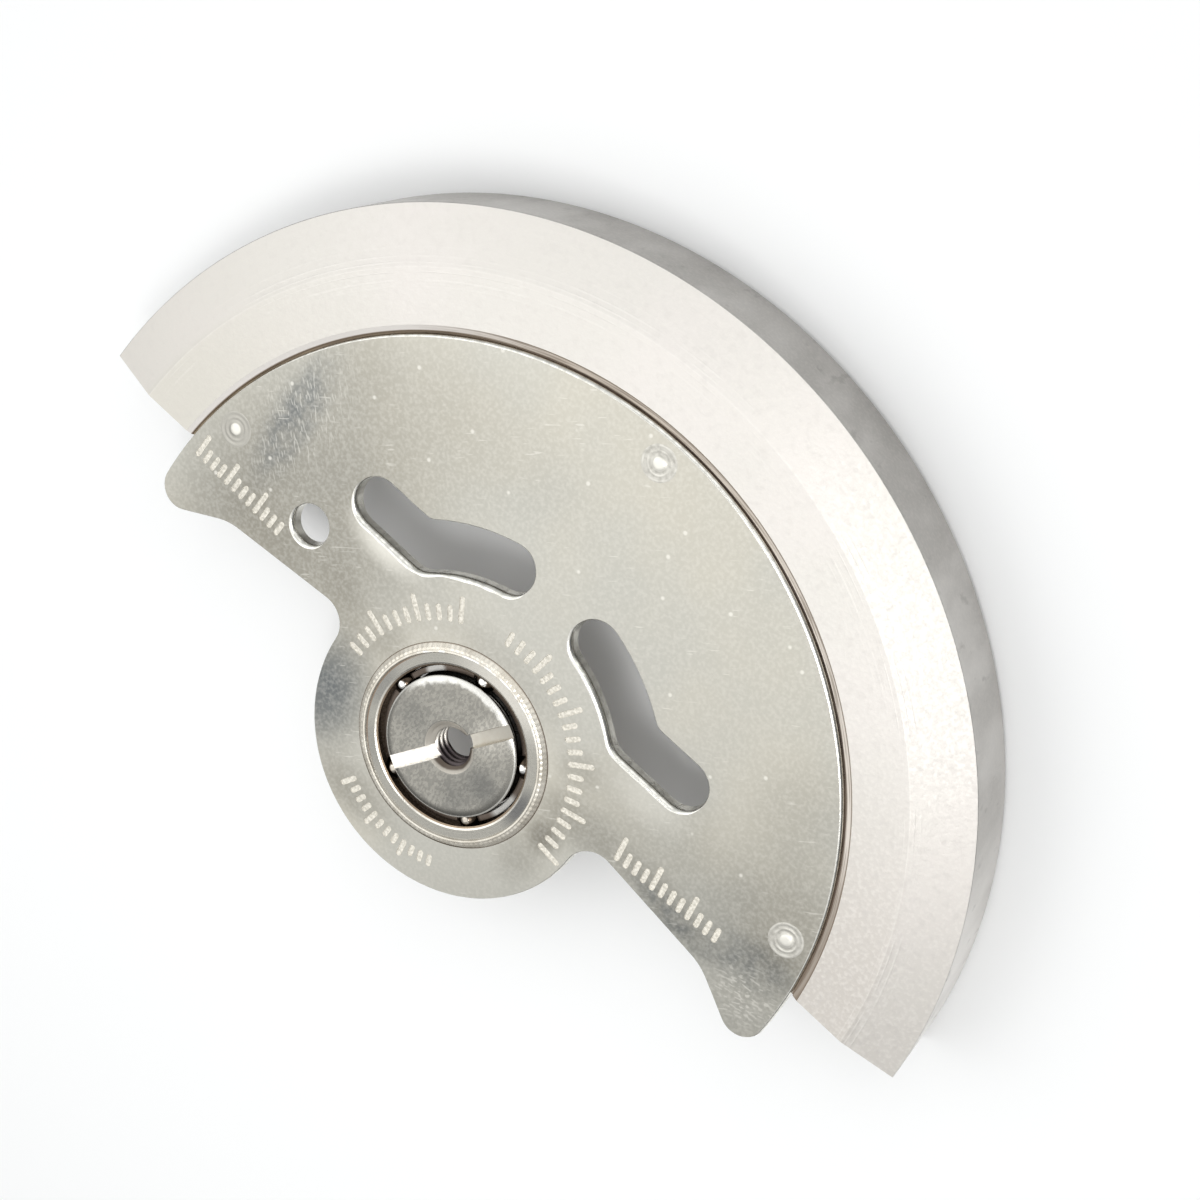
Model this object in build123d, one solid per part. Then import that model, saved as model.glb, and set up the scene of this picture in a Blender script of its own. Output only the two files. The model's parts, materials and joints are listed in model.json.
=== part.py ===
from build123d import *
import math
import os

# Winding rotor of an automatic wristwatch, in millimetres.
# The origin lies on the rotor's axis, in the plane where the bearing core seats on its post.
# +Z points out of the face that shows, and +Y points at the middle of the heavy rim.

# Heights along the axis
CORE_HEIGHT = 1.42          # seat of the core to its slotted face
CORE_PROUD = 0.12           # slotted face above the plate's top
PLATE_THICKNESS = 0.38
RIM_TOP_DROP = 0.02         # rim's flat top below the plate's top
RIM_HEIGHT = 2.65           # rim's flat top to its underside

# Heavy rim
RIM_OUTER_RADIUS = 13.25
RIM_WIDTH = 2.97            # the part of the rim that shows outside the plate
RIM_INNER_CHAMFER = 0.16    # along the open line between plate and rim
RIM_CHAMFER_DROP = 0.055
RIM_BEVEL_WIDTH = 1.45      # conical outer half of the top
RIM_BEVEL_DROP = 0.41
RIM_BOTTOM_CHAMFER = 0.15
RIM_END_OFFSET = 1.45       # both ends lie on one line, this far from the axis
RIM_LAP = 0.23              # how far the full-depth part reaches under the plate
LEDGE_LAP = 1.33            # how far the thin ledge reaches under the plate
LEDGE_THICKNESS = 1.00

# Plate
PLATE_GAP = 0.05            # open line between plate and rim
LOBE_RADIUS = 4.05          # round lobe about the bearing
LOBE_FILLET = 0.70
WING_LINE_OFFSET = 1.17     # where the wings' lower edges would meet on the middle line
WING_SLOPE_DEG = 6.1
WING_BEND_SETBACK = 2.13    # from the plate's edge in to the bend of the lower edge
WING_BEND_RADIUS = 1.60
WING_TIP_SLOPE_DEG = 30.0
WING_TIP_RADIUS = 0.60

# Pair of cranked slots in the plate
SLOT_LAND = 0.37            # metal between the lobe's circle and the slot
SLOT_WIDTH = 1.31
SLOT_START_DEG = 16.0       # from +Y to the centre of the inner round end
SLOT_BEND_DEG = 43.0        # from +Y to the bend, where the slot turns along X
SLOT_RUN = 1.56             # bend to the centre of the outer round end
SLOT_BEND_FILLET = 0.45

# Round sight hole in the left wing
SIGHT_HOLE_X = -6.20
SIGHT_HOLE_Y = 1.93
SIGHT_HOLE_RADIUS = 0.52

# Rivets through plate and ledge
RIVET_INSET = 0.69          # from the plate's edge in to the rivets
RIVET_SHANK_RADIUS = 0.20
RIVET_HEAD_RADIUS = 0.40
RIVET_HEAD_DEPTH = 0.12
RIVET_DOME_HEIGHT = 0.05
RIVET_TAIL_RADIUS = 0.30
RIVET_TAIL_DEPTH = 0.12
RIVET_SIDE_DEG = 15.2       # side rivets, above the X axis

# Ball bearing
BALL_COUNT = 5
BALL_START_DEG = 27.4
BALL_RADIUS = 0.325
BALL_CIRCLE_RADIUS = 1.975
CONTACT_DEG = 45.0
RACE_CLEARANCE = 0.012      # between a ball and each race, along the line of contact
LIP_OFFSET = 0.125          # ball circle to the lip of each race
LIP_LAND = 0.05             # straight edge of the outer race, from its lip to the ring's face
GROOVE_ROOM = 0.03          # past the ball's side, to the flat foot of each race
RING_WALL = 0.12            # outer ring, behind its groove
RING_PROUD = 0.07           # ring's flat face above the plate's top
RING_EDGE_CHAMFER = 0.02
COLLAR_WIDTH = 0.23         # rolled collar that grips the plate
COLLAR_PROUD = 0.15
FLANGE_WIDTH = 0.25
FLANGE_THICKNESS = 0.15

# Toothed wheel under the plate
GEAR_TEETH = 54
GEAR_WALL = 0.655           # from the outer ring to the pitch circle
GEAR_THICKNESS = 0.42
# Flank of a tooth: height over the pitch circle in modules, and half width in tooth pitches
TOOTH_SHARES = ((-1.25, 0.34), (0.0, 0.25), (0.7, 0.16), (1.0, 0.07))

# Cage
CAGE_WALL = 0.17
CAGE_BASE = 0.125           # closed ring under the balls
CAGE_RISE = 0.17            # fingers above the ball centres
POCKET_CLEARANCE = 0.02

# Core and lower cone
CONE_WALL = 0.37            # from the stem to the foot of the lower race
CONE_HEIGHT = 0.57
CONE_CHAMFER = 0.06
THREAD_RADIUS = 0.47        # crest radius of the thread
THREAD_DEPTH = 0.75         # from the slotted face down to the wide counterbore
MOUTH_CHAMFER = 0.19
STEM_WALL = 0.30            # from the wide counterbore to the outside of the stem
DRIVER_SLOT_WIDTH = 0.36
DRIVER_SLOT_DEPTH = 0.28    # on the axis; the floor rises outwards as the sawn arc does
DRIVER_SLOT_SAW_RADIUS = 8.6
DRIVER_SLOT_DEG = 57.7
CORE_EDGE_CHAMFER = 0.07

OVERRUN = 1.0               # how far every cutting shape runs past what it cuts


def race_height(offset):
    """Height over the ball plane of a race's cone, at this distance from the ball circle."""
    contact = math.radians(CONTACT_DEG)
    return (BALL_RADIUS + RACE_CLEARANCE - offset * math.cos(contact)) / math.sin(contact)


# Places that follow from the sizes
PLATE_TOP = CORE_HEIGHT - CORE_PROUD
PLATE_BOTTOM = PLATE_TOP - PLATE_THICKNESS
PLATE_RADIUS = RIM_OUTER_RADIUS - RIM_WIDTH - PLATE_GAP
RIM_TOP = PLATE_TOP - RIM_TOP_DROP
RIM_BOTTOM = RIM_TOP - RIM_HEIGHT
LEDGE_BOTTOM = PLATE_BOTTOM - LEDGE_THICKNESS
RING_TOP = PLATE_TOP + RING_PROUD
BALL_PLANE = RING_TOP - LIP_LAND - race_height(LIP_OFFSET)
GROOVE_OFFSET = BALL_RADIUS + GROOVE_ROOM
RING_RADIUS = BALL_CIRCLE_RADIUS + GROOVE_OFFSET + RING_WALL
OUTER_LIP_RADIUS = BALL_CIRCLE_RADIUS + LIP_OFFSET
INNER_LIP_RADIUS = BALL_CIRCLE_RADIUS - LIP_OFFSET
STEM_RADIUS = BALL_CIRCLE_RADIUS - GROOVE_OFFSET - CONE_WALL
COUNTERBORE_RADIUS = STEM_RADIUS - STEM_WALL
GEAR_PITCH_RADIUS = RING_RADIUS + GEAR_WALL
GEAR_MODULE = 2 * GEAR_PITCH_RADIUS / GEAR_TEETH
GEAR_BOTTOM = PLATE_BOTTOM - GEAR_THICKNESS
RING_BOTTOM = GEAR_BOTTOM - FLANGE_THICKNESS
RIVET_CIRCLE_RADIUS = PLATE_RADIUS - RIVET_INSET


def polar(radius, degrees):
    """Point on a circle about the axis, degrees counted from +X."""
    angle = math.radians(degrees)
    return radius * math.cos(angle), radius * math.sin(angle)


def turned(points):
    """Solid of revolution about the axis from its half section, given as (radius, height)."""
    section = make_face(Polyline([(r, 0, z) for r, z in points], close=True))
    return revolve(section, Axis.Z)


def extruded(face, bottom, height):
    """Prism over a flat face, from the height of its underside."""
    return Pos(0, 0, bottom) * extrude(face, amount=height, dir=(0, 0, 1))


def nearest_vertices(face, places):
    """The face's corner nearest to each place."""
    return [face.vertices().sort_by_distance((x, y, 0))[0] for x, y in places]


def wing_edge_points():
    """Lower edge of the right wing: on the middle line, at its bend, and past the plate's edge."""
    bend_x = PLATE_RADIUS - WING_BEND_SETBACK
    bend_y = WING_LINE_OFFSET - bend_x * math.tan(math.radians(WING_SLOPE_DEG))
    past_x = PLATE_RADIUS + OVERRUN
    past_y = bend_y - (past_x - bend_x) * math.tan(math.radians(WING_TIP_SLOPE_DEG))
    return (0, WING_LINE_OFFSET), (bend_x, bend_y), (past_x, past_y)


def line_meets_circle(start, end, radius):
    """Where the line through two points leaves a circle about the axis, towards its second point."""
    length = math.dist(start, end)
    along = ((end[0] - start[0]) / length, (end[1] - start[1]) / length)
    lead = start[0] * along[0] + start[1] * along[1]
    reach = -lead + math.sqrt(lead**2 - math.hypot(*start)**2 + radius**2)
    return start[0] + reach * along[0], start[1] + reach * along[1]


def both_sides(place):
    """A place and its mirror image across the middle line."""
    return [place, (-place[0], place[1])]


def plate_outline():
    """Half disc with a round lobe about the bearing and two wings with rounded tips."""
    middle, bend, past = wing_edge_points()
    top = PLATE_RADIUS + OVERRUN
    above_wings = Polygon([middle, bend, past, (past[0], top), (-past[0], top),
                           (-past[0], past[1]), (-bend[0], bend[1])], align=None)
    outline = (Circle(PLATE_RADIUS) & above_wings) + Circle(LOBE_RADIUS)
    root = line_meets_circle(middle, bend, LOBE_RADIUS)
    tip = line_meets_circle(bend, past, PLATE_RADIUS)
    rounds = ((tip, WING_TIP_RADIUS), (bend, WING_BEND_RADIUS), (root, LOBE_FILLET))
    for place, radius in rounds:
        outline = fillet(nearest_vertices(outline, both_sides(place)), radius)
    return outline


def cranked_slot():
    """Right-hand slot: an arc about the axis that runs on into a straight part along X."""
    radius = LOBE_RADIUS + SLOT_LAND + SLOT_WIDTH / 2
    sweep = SLOT_BEND_DEG - SLOT_START_DEG
    bend_x, bend_y = polar(radius, 90 - SLOT_BEND_DEG)
    arc = SlotArc(CenterArc((0, 0), radius, 90 - SLOT_BEND_DEG, sweep), SLOT_WIDTH)
    straight = Pos(bend_x + SLOT_RUN / 2, bend_y) * SlotCenterToCenter(SLOT_RUN, SLOT_WIDTH)
    outer = radius + SLOT_WIDTH / 2
    upper_edge = bend_y + SLOT_WIDTH / 2
    kink = (math.sqrt(outer**2 - upper_edge**2), upper_edge)
    slot = arc + straight
    return fillet(nearest_vertices(slot, [kink]), SLOT_BEND_FILLET)


def rivet_places():
    """The three rivets, by name."""
    degrees = {"left": 180 - RIVET_SIDE_DEG, "middle": 90, "right": RIVET_SIDE_DEG}
    return {name: polar(RIVET_CIRCLE_RADIUS, value) for name, value in degrees.items()}


def weight_rivet():
    """Rivet on the axis: sunk head with a low dome, shank, and a tail spread under the ledge."""
    body = turned([
        (0, PLATE_TOP),
        (RIVET_HEAD_RADIUS, PLATE_TOP),
        (RIVET_SHANK_RADIUS, PLATE_TOP - RIVET_HEAD_DEPTH),
        (RIVET_SHANK_RADIUS, LEDGE_BOTTOM + RIVET_TAIL_DEPTH),
        (RIVET_TAIL_RADIUS, LEDGE_BOTTOM),
        (0, LEDGE_BOTTOM),
    ])
    dome_radius = (RIVET_SHANK_RADIUS**2 + RIVET_DOME_HEIGHT**2) / (2 * RIVET_DOME_HEIGHT)
    dome = Pos(0, 0, PLATE_TOP + RIVET_DOME_HEIGHT - dome_radius) * Sphere(dome_radius)
    cap_height = RIVET_DOME_HEIGHT + RIVET_HEAD_DEPTH
    cap = Pos(0, 0, PLATE_TOP - RIVET_HEAD_DEPTH / 2 + cap_height / 2)
    cap *= Cylinder(RIVET_SHANK_RADIUS, cap_height)
    return body + (dome & cap)


def rivets():
    """All three rivets in place, by name."""
    pin = weight_rivet()
    return {name: Pos(x, y, 0) * pin for name, (x, y) in rivet_places().items()}


def rotor_plate():
    """Thin plate that joins the bearing to the heavy rim."""
    slot = cranked_slot()
    face = plate_outline() - Circle(RING_RADIUS) - slot - mirror(slot, Plane.YZ)
    face -= Pos(SIGHT_HOLE_X, SIGHT_HOLE_Y) * Circle(SIGHT_HOLE_RADIUS)
    plate = extruded(face, PLATE_BOTTOM, PLATE_THICKNESS)
    for pin in rivets().values():
        plate -= pin
    return plate


def oscillating_weight():
    """Heavy rim: full-depth arc with a bevelled top and a ledge that carries the plate."""
    inner = PLATE_RADIUS + PLATE_GAP
    rim = turned([
        (inner, RIM_TOP - RIM_CHAMFER_DROP),
        (inner + RIM_INNER_CHAMFER, RIM_TOP),
        (RIM_OUTER_RADIUS - RIM_BEVEL_WIDTH, RIM_TOP),
        (RIM_OUTER_RADIUS, RIM_TOP - RIM_BEVEL_DROP),
        (RIM_OUTER_RADIUS, RIM_BOTTOM + RIM_BOTTOM_CHAMFER),
        (RIM_OUTER_RADIUS - RIM_BOTTOM_CHAMFER, RIM_BOTTOM),
        (PLATE_RADIUS - RIM_LAP, RIM_BOTTOM),
        (PLATE_RADIUS - RIM_LAP, LEDGE_BOTTOM),
        (PLATE_RADIUS - LEDGE_LAP, LEDGE_BOTTOM),
        (PLATE_RADIUS - LEDGE_LAP, PLATE_BOTTOM),
        (inner, PLATE_BOTTOM),
    ])
    reach = RIM_OUTER_RADIUS + OVERRUN
    depth = RIM_HEIGHT + 2 * OVERRUN
    keep = Pos(0, RIM_END_OFFSET + reach / 2, RIM_TOP - RIM_HEIGHT / 2) * Box(2 * reach, reach, depth)
    weight = rim & keep
    for pin in rivets().values():
        weight -= pin
    return weight


def bearing_outer_ring():
    """Outer race: pinned under the toothed wheel by its flange, over the plate by a rolled collar."""
    groove_radius = BALL_CIRCLE_RADIUS + GROOVE_OFFSET
    lip_rise = race_height(LIP_OFFSET)
    groove_rise = race_height(GROOVE_OFFSET)
    collar_radius = RING_RADIUS + COLLAR_WIDTH
    collar_top = PLATE_TOP + COLLAR_PROUD
    collar_shoulder = COLLAR_WIDTH / 4
    return turned([
        (OUTER_LIP_RADIUS, RING_BOTTOM),
        (OUTER_LIP_RADIUS, BALL_PLANE - lip_rise),
        (groove_radius, BALL_PLANE - groove_rise),
        (groove_radius, BALL_PLANE + groove_rise),
        (OUTER_LIP_RADIUS, BALL_PLANE + lip_rise),
        (OUTER_LIP_RADIUS, RING_TOP - RING_EDGE_CHAMFER),
        (OUTER_LIP_RADIUS + RING_EDGE_CHAMFER, RING_TOP),
        (RING_RADIUS, RING_TOP),
        (RING_RADIUS + collar_shoulder, collar_top),
        (collar_radius - collar_shoulder, collar_top),
        (collar_radius, PLATE_TOP + COLLAR_PROUD / 2),
        (collar_radius, PLATE_TOP),
        (RING_RADIUS, PLATE_TOP),
        (RING_RADIUS, GEAR_BOTTOM),
        (RING_RADIUS + FLANGE_WIDTH, GEAR_BOTTOM),
        (RING_RADIUS + FLANGE_WIDTH, RING_BOTTOM),
    ])


def rotor_gear():
    """Toothed wheel under the plate that drives the first winding wheel."""
    tooth_pitch = 360 / GEAR_TEETH
    points = []
    for tooth in range(GEAR_TEETH):
        middle = tooth * tooth_pitch
        for side, flank in ((-1, TOOTH_SHARES), (1, TOOTH_SHARES[::-1])):
            for height_share, half_share in flank:
                radius = GEAR_PITCH_RADIUS + GEAR_MODULE * height_share
                points.append(polar(radius, middle + side * half_share * tooth_pitch))
    outline = make_face(Polyline([(x, y, 0) for x, y in points], close=True))
    return extruded(outline - Circle(RING_RADIUS), GEAR_BOTTOM, GEAR_THICKNESS)


def ball_places():
    """Centres of the balls, in order round the ball circle."""
    step = 360 / BALL_COUNT
    return [polar(BALL_CIRCLE_RADIUS, BALL_START_DEG + number * step) for number in range(BALL_COUNT)]


def ball_cage():
    """Ring with one open pocket for each ball."""
    pocket_radius = BALL_RADIUS + POCKET_CLEARANCE
    bottom = BALL_PLANE - pocket_radius - CAGE_BASE
    height = BALL_PLANE + CAGE_RISE - bottom
    face = Circle(BALL_CIRCLE_RADIUS + CAGE_WALL / 2) - Circle(BALL_CIRCLE_RADIUS - CAGE_WALL / 2)
    cage = extruded(face, bottom, height)
    for x, y in ball_places():
        cage -= Pos(x, y, BALL_PLANE) * Sphere(pocket_radius)
    return cage


def inner_groove_points():
    """Foot and lip of the inner race, as distance from the axis and rise over the ball plane."""
    foot = (BALL_CIRCLE_RADIUS - GROOVE_OFFSET, race_height(GROOVE_OFFSET))
    lip = (INNER_LIP_RADIUS, race_height(LIP_OFFSET))
    return foot, lip


def bearing_core():
    """Fixed core: slotted face, upper cone of the inner race, stem, thread and counterbore."""
    foot, lip = inner_groove_points()
    thread_bottom = CORE_HEIGHT - THREAD_DEPTH
    core = turned([
        (COUNTERBORE_RADIUS, 0),
        (STEM_RADIUS, 0),
        (STEM_RADIUS, BALL_PLANE),
        (foot[0], BALL_PLANE),
        (foot[0], BALL_PLANE + foot[1]),
        (lip[0], BALL_PLANE + lip[1]),
        (lip[0], CORE_HEIGHT - CORE_EDGE_CHAMFER),
        (lip[0] - CORE_EDGE_CHAMFER, CORE_HEIGHT),
        (THREAD_RADIUS + MOUTH_CHAMFER, CORE_HEIGHT),
        (THREAD_RADIUS, CORE_HEIGHT - MOUTH_CHAMFER),
        (THREAD_RADIUS, thread_bottom),
        (COUNTERBORE_RADIUS, thread_bottom),
    ])
    saw = Rot(90, 0, 0) * Cylinder(DRIVER_SLOT_SAW_RADIUS, DRIVER_SLOT_WIDTH)
    saw_height = CORE_HEIGHT - DRIVER_SLOT_DEPTH + DRIVER_SLOT_SAW_RADIUS
    return core - Pos(0, 0, saw_height) * Rot(0, 0, DRIVER_SLOT_DEG) * saw


def bearing_cone():
    """Lower cone of the inner race, pressed on the core's stem."""
    foot, lip = inner_groove_points()
    bottom = BALL_PLANE - CONE_HEIGHT
    return turned([
        (STEM_RADIUS, BALL_PLANE),
        (foot[0], BALL_PLANE),
        (foot[0], BALL_PLANE - foot[1]),
        (lip[0], BALL_PLANE - lip[1]),
        (lip[0], bottom + CONE_CHAMFER),
        (lip[0] - CONE_CHAMFER, bottom),
        (STEM_RADIUS, bottom),
    ])


def all_parts():
    """Every piece of the rotor, by its node's name."""
    parts = {
        "rotor_plate": rotor_plate(),
        "oscillating_weight": oscillating_weight(),
        "bearing_outer_ring": bearing_outer_ring(),
        "rotor_gear": rotor_gear(),
        "ball_cage": ball_cage(),
        "bearing_core": bearing_core(),
        "bearing_cone": bearing_cone(),
    }
    for name, pin in rivets().items():
        parts[f"weight_rivet_{name}"] = pin
    for number, (x, y) in enumerate(ball_places(), start=1):
        parts[f"bearing_ball_{number}"] = Pos(x, y, BALL_PLANE) * Sphere(BALL_RADIUS)
    return parts


os.makedirs("parts", exist_ok=True)
for node, shape in all_parts().items():
    export_step(shape, f"parts/{node}.step")
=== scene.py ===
import json
import math
from functools import partial

import bmesh
import bpy
from mathutils import Matrix, Quaternion, Vector, noise


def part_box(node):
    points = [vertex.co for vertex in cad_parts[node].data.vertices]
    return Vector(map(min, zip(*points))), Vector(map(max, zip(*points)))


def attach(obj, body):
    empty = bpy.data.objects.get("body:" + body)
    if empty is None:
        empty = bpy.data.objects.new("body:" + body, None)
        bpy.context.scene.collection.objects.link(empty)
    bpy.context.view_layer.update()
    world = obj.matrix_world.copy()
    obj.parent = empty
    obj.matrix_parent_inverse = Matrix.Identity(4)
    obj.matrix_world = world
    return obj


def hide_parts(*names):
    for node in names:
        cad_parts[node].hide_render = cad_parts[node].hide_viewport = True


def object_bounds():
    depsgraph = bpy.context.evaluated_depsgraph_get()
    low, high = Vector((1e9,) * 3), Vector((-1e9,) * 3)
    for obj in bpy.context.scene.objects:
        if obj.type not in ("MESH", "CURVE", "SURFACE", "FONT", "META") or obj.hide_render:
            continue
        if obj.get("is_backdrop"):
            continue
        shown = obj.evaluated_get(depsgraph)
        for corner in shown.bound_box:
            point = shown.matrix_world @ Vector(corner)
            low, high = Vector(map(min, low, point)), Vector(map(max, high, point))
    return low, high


# Winding rotor of an automatic watch, off its movement, with the face that shows on top.
# Sizes are in millimetres and angles in degrees; a finished mesh is brought to metres.
MM = 0.001
NEAR = 1e-5                     # points this close are one
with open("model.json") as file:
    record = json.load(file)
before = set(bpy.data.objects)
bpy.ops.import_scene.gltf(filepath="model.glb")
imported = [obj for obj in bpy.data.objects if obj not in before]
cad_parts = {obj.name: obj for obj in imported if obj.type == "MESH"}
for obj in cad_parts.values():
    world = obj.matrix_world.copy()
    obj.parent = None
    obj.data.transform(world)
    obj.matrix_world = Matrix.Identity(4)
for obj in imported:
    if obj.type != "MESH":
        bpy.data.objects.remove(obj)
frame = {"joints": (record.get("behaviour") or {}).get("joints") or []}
cad_low, cad_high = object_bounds()

# Camera: it looks down over the middle of the rim, and is turned well over to one side.
# From there the circles of the rotor lie as the photograph shows them.
CAMERA_PLACE = Vector((9.4255, 30.0265, 44.1556))
CAMERA_AIM = Vector((0.7914, 5.8938, 1.3000))
CAMERA_ROLL = 120.586
CAMERA_LENS = 64.275
CAMERA_NEAR = 1.0
CAMERA_FAR = 5000.0


def shown(name, data):
    """New object in the scene."""
    made = bpy.data.objects.new(name, data)
    bpy.context.scene.collection.objects.link(made)
    return made


def aimed(shape, place, aim, roll=0.0):
    """Stands a camera or a lamp at a place and points it at another."""
    shape.location = place * MM
    shape.rotation_mode = "QUATERNION"
    level = (aim - place).to_track_quat("-Z", "Y")
    shape.rotation_quaternion = level @ Quaternion((0, 0, 1), math.radians(-roll))


camera = shown("camera", bpy.data.cameras.new("camera"))
camera.data.lens = CAMERA_LENS
camera.data.clip_start = CAMERA_NEAR * MM
camera.data.clip_end = CAMERA_FAR * MM
aimed(camera, CAMERA_PLACE, CAMERA_AIM, CAMERA_ROLL)
bpy.context.scene.camera = camera
bpy.context.scene.view_settings.view_transform = "Standard"

# Room: a pale floor under the rim, a pale sky that is brightest overhead, and soft lamps around.
# The rotor stands on its rim, so the floor lies at the lowest point of the solids.
FLOOR_REACH = 2000.0
FLOOR_DROP = 0.01
FLOOR_COLOUR = (241, 241, 240)
FLOOR_LIFT = 0.07
BACKDROP_START, BACKDROP_END = 45.0, 150.0
BACKDROP_LIFT = 0.85
SKY_COLOUR = (251, 253, 255)
SKY_UP = Vector((-0.45, 0.15, 0.88))
SKY_LOW, SKY_HIGH = 0.10, 0.85
LAMPS = (                       # name, place, side, power
    ("lamp_overhead", Vector((20.0, 7.0, 70.0)), 30.0, 0.0160),
    ("lamp_front", Vector((-21.0, -28.0, 61.0)), 56.0, 0.0077),
    ("lamp_left", Vector((-50.0, 0.0, 50.0)), 56.0, 0.0070),
    ("lamp_right", Vector((44.0, -22.0, 52.0)), 56.0, 0.0036),
    ("lamp_back", Vector((0.0, 55.0, 45.0)), 56.0, 0.0058),
)


def linear(colour):
    """Colour as a shader takes it, from its screen values of 0 to 255."""
    shares = [part / 255 for part in colour]
    return [s / 12.92 if s <= 0.04045 else ((s + 0.055) / 1.055) ** 2.4 for s in shares] + [1.0]


def add(where, kind, inputs=(), **settings):
    """New node in a tree, or in the tree of an output: its settings, and its inputs as
    (socket, value or output) pairs."""
    made = where.id_data.nodes.new(kind)
    for key, value in settings.items():
        setattr(made, key, value)
    for socket, value in inputs:
        if isinstance(value, bpy.types.NodeSocket):
            where.id_data.links.new(value, made.inputs[socket])
        else:
            made.inputs[socket].default_value = value
    return made


def maths(operation, *values):
    """Result of one sum on values and outputs."""
    where = next(value for value in values if isinstance(value, bpy.types.NodeSocket))
    return add(where, "ShaderNodeMath", enumerate(values), operation=operation).outputs[0]


times, plus, larger = (partial(maths, kind) for kind in ("MULTIPLY", "ADD", "MAXIMUM"))


def vectors(operation, *values):
    """Result of one sum on vectors, the first of them an output; it may be a plain number."""
    node = add(values[0], "ShaderNodeVectorMath", enumerate(values), operation=operation)
    return node.outputs["Value" if operation in ("LENGTH", "DOT_PRODUCT") else "Vector"]


def between(value, low, high, to_low=0.0, to_high=1.0, curve="SMOOTHSTEP"):
    """Step of a value between two limits."""
    names = ("Value", "From Min", "From Max", "To Min", "To Max")
    inputs = zip(names, (value, low, high, to_low, to_high))
    return add(value, "ShaderNodeMapRange", inputs, interpolation_type=curve).outputs[0]


def floor_material():
    """Matt pale floor, lifted a little where the camera or a reflection sees it, white far away."""
    made = bpy.data.materials.new("pale_floor")
    made.use_nodes = True
    tree = made.node_tree
    tree.nodes.clear()
    matt = add(tree, "ShaderNodeBsdfDiffuse", [("Color", linear(FLOOR_COLOUR))])
    ray = add(tree, "ShaderNodeLightPath").outputs
    lift = times(larger(ray["Is Camera Ray"], ray["Is Glossy Ray"]), FLOOR_LIFT)
    away = vectors("LENGTH", add(tree, "ShaderNodeTexCoord").outputs["Object"])
    limits = BACKDROP_START * MM, BACKDROP_END * MM
    far = between(away, *limits, 0.0, BACKDROP_LIFT, "LINEAR")
    total = maths("MULTIPLY_ADD", far, ray["Is Camera Ray"], lift)
    glow = add(tree, "ShaderNodeEmission", [("Strength", total)])
    both = add(tree, "ShaderNodeAddShader", [(0, matt.outputs[0]), (1, glow.outputs[0])])
    add(tree, "ShaderNodeOutputMaterial", [("Surface", both.outputs[0])])
    return made


floor_height = cad_low.z / MM - FLOOR_DROP
corners = [(x * FLOOR_REACH * MM, y * FLOOR_REACH * MM, floor_height * MM)
           for x, y in ((-1, -1), (1, -1), (1, 1), (-1, 1))]
floor_mesh = bpy.data.meshes.new("floor")
floor_mesh.from_pydata(corners, [], [(0, 1, 2, 3)])
floor_mesh.materials.append(floor_material())
floor = shown("floor", floor_mesh)
floor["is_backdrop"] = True

sky = bpy.data.worlds.new("pale_room")
sky.use_nodes = True
sky.node_tree.nodes.clear()
towards = add(sky.node_tree, "ShaderNodeTexCoord").outputs["Generated"]
height = vectors("DOT_PRODUCT", towards, SKY_UP)
strength = larger(between(height, 0.0, 1.0, SKY_LOW, SKY_HIGH, "LINEAR"),
                  add(sky.node_tree, "ShaderNodeLightPath").outputs["Is Camera Ray"])
light = add(sky.node_tree, "ShaderNodeBackground",
            [("Color", linear(SKY_COLOUR)), ("Strength", strength)])
add(sky.node_tree, "ShaderNodeOutputWorld", [("Surface", light.outputs[0])])
bpy.context.scene.world = sky

for lamp_name, place, size, power in LAMPS:
    lamp = shown(lamp_name, bpy.data.lights.new(lamp_name, "AREA"))
    lamp.data.size = size * MM
    lamp.data.energy = power
    aimed(lamp, place, Vector())

# Rotor plate: stamped from thin brass sheet and plated, with satin faces and burnished edges.
# Plain graduation marks are cut in its face. Three rivets hold it to the ledge of the rim.
WING_LINE_OFFSET = 1.17
WING_SLOPE = 6.1
WING_BEND_SETBACK = 2.13
WING_BEND_RADIUS = 1.60
WING_TIP_SLOPE = 30.0
WING_TIP_RADIUS = 0.60
LOBE_FILLET = 0.70
SLOT_LAND = 0.37
SLOT_WIDTH = 1.31
SLOT_START = 16.0
SLOT_BEND = 43.0
SLOT_RUN = 1.56
SLOT_BEND_FILLET = 0.45
SIGHT_HOLE = (-6.20, 1.93)
SIGHT_HOLE_RADIUS = 0.52
BORE_RADIUS = 2.45
RIVET_CIRCLE = 9.54
RIVET_HEAD_RADIUS = 0.40
RIVET_SHANK_RADIUS = 0.20
RIVET_HEAD_DEPTH = 0.12
RIVET_FIRST, RIVET_STEP = 15.2, 74.8
RIVET_COUNT = 3
TOP_ROUND = 0.10
SLOT_ROUND = 0.14
BOTTOM_ROUND = 0.04
ROUND_STEPS = 6
BURR_SHARE = 0.08
BURR_ROUGH_SHARE = 0.40
BURR_SCALE = 2.2
ROLL_SIDE = 72.6
ROLL_LEAST = 0.30
ARC_STEP = 0.1
ARC_STEP_ANGLE = 6.0
DECADE = (0.72, 0.44, 0.44, 0.44)
SHORT_DECADE = (0.52, 0.34, 0.34, 0.34)
SCALES = (                      # marks, copies, first angle, pitch angle, start radius
    (DECADE, 5, -6.0, 5.4, 3.22),
    (DECADE, 3, 120.0, 5.2, 3.22),
    (SHORT_DECADE, 3, -119.0, 4.7, 3.12),
)
ROWS = (                        # marks, copies, first place, pitch, turn
    (DECADE, 3, (4.93, 0.85), (0.275, 0.018), 100.0),
    (DECADE, 3, (-9.75, 1.12), (0.262, -0.012), 86.0),
)
MARK_WIDTH = 0.15
MARK_DEPTH = 0.018
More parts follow.
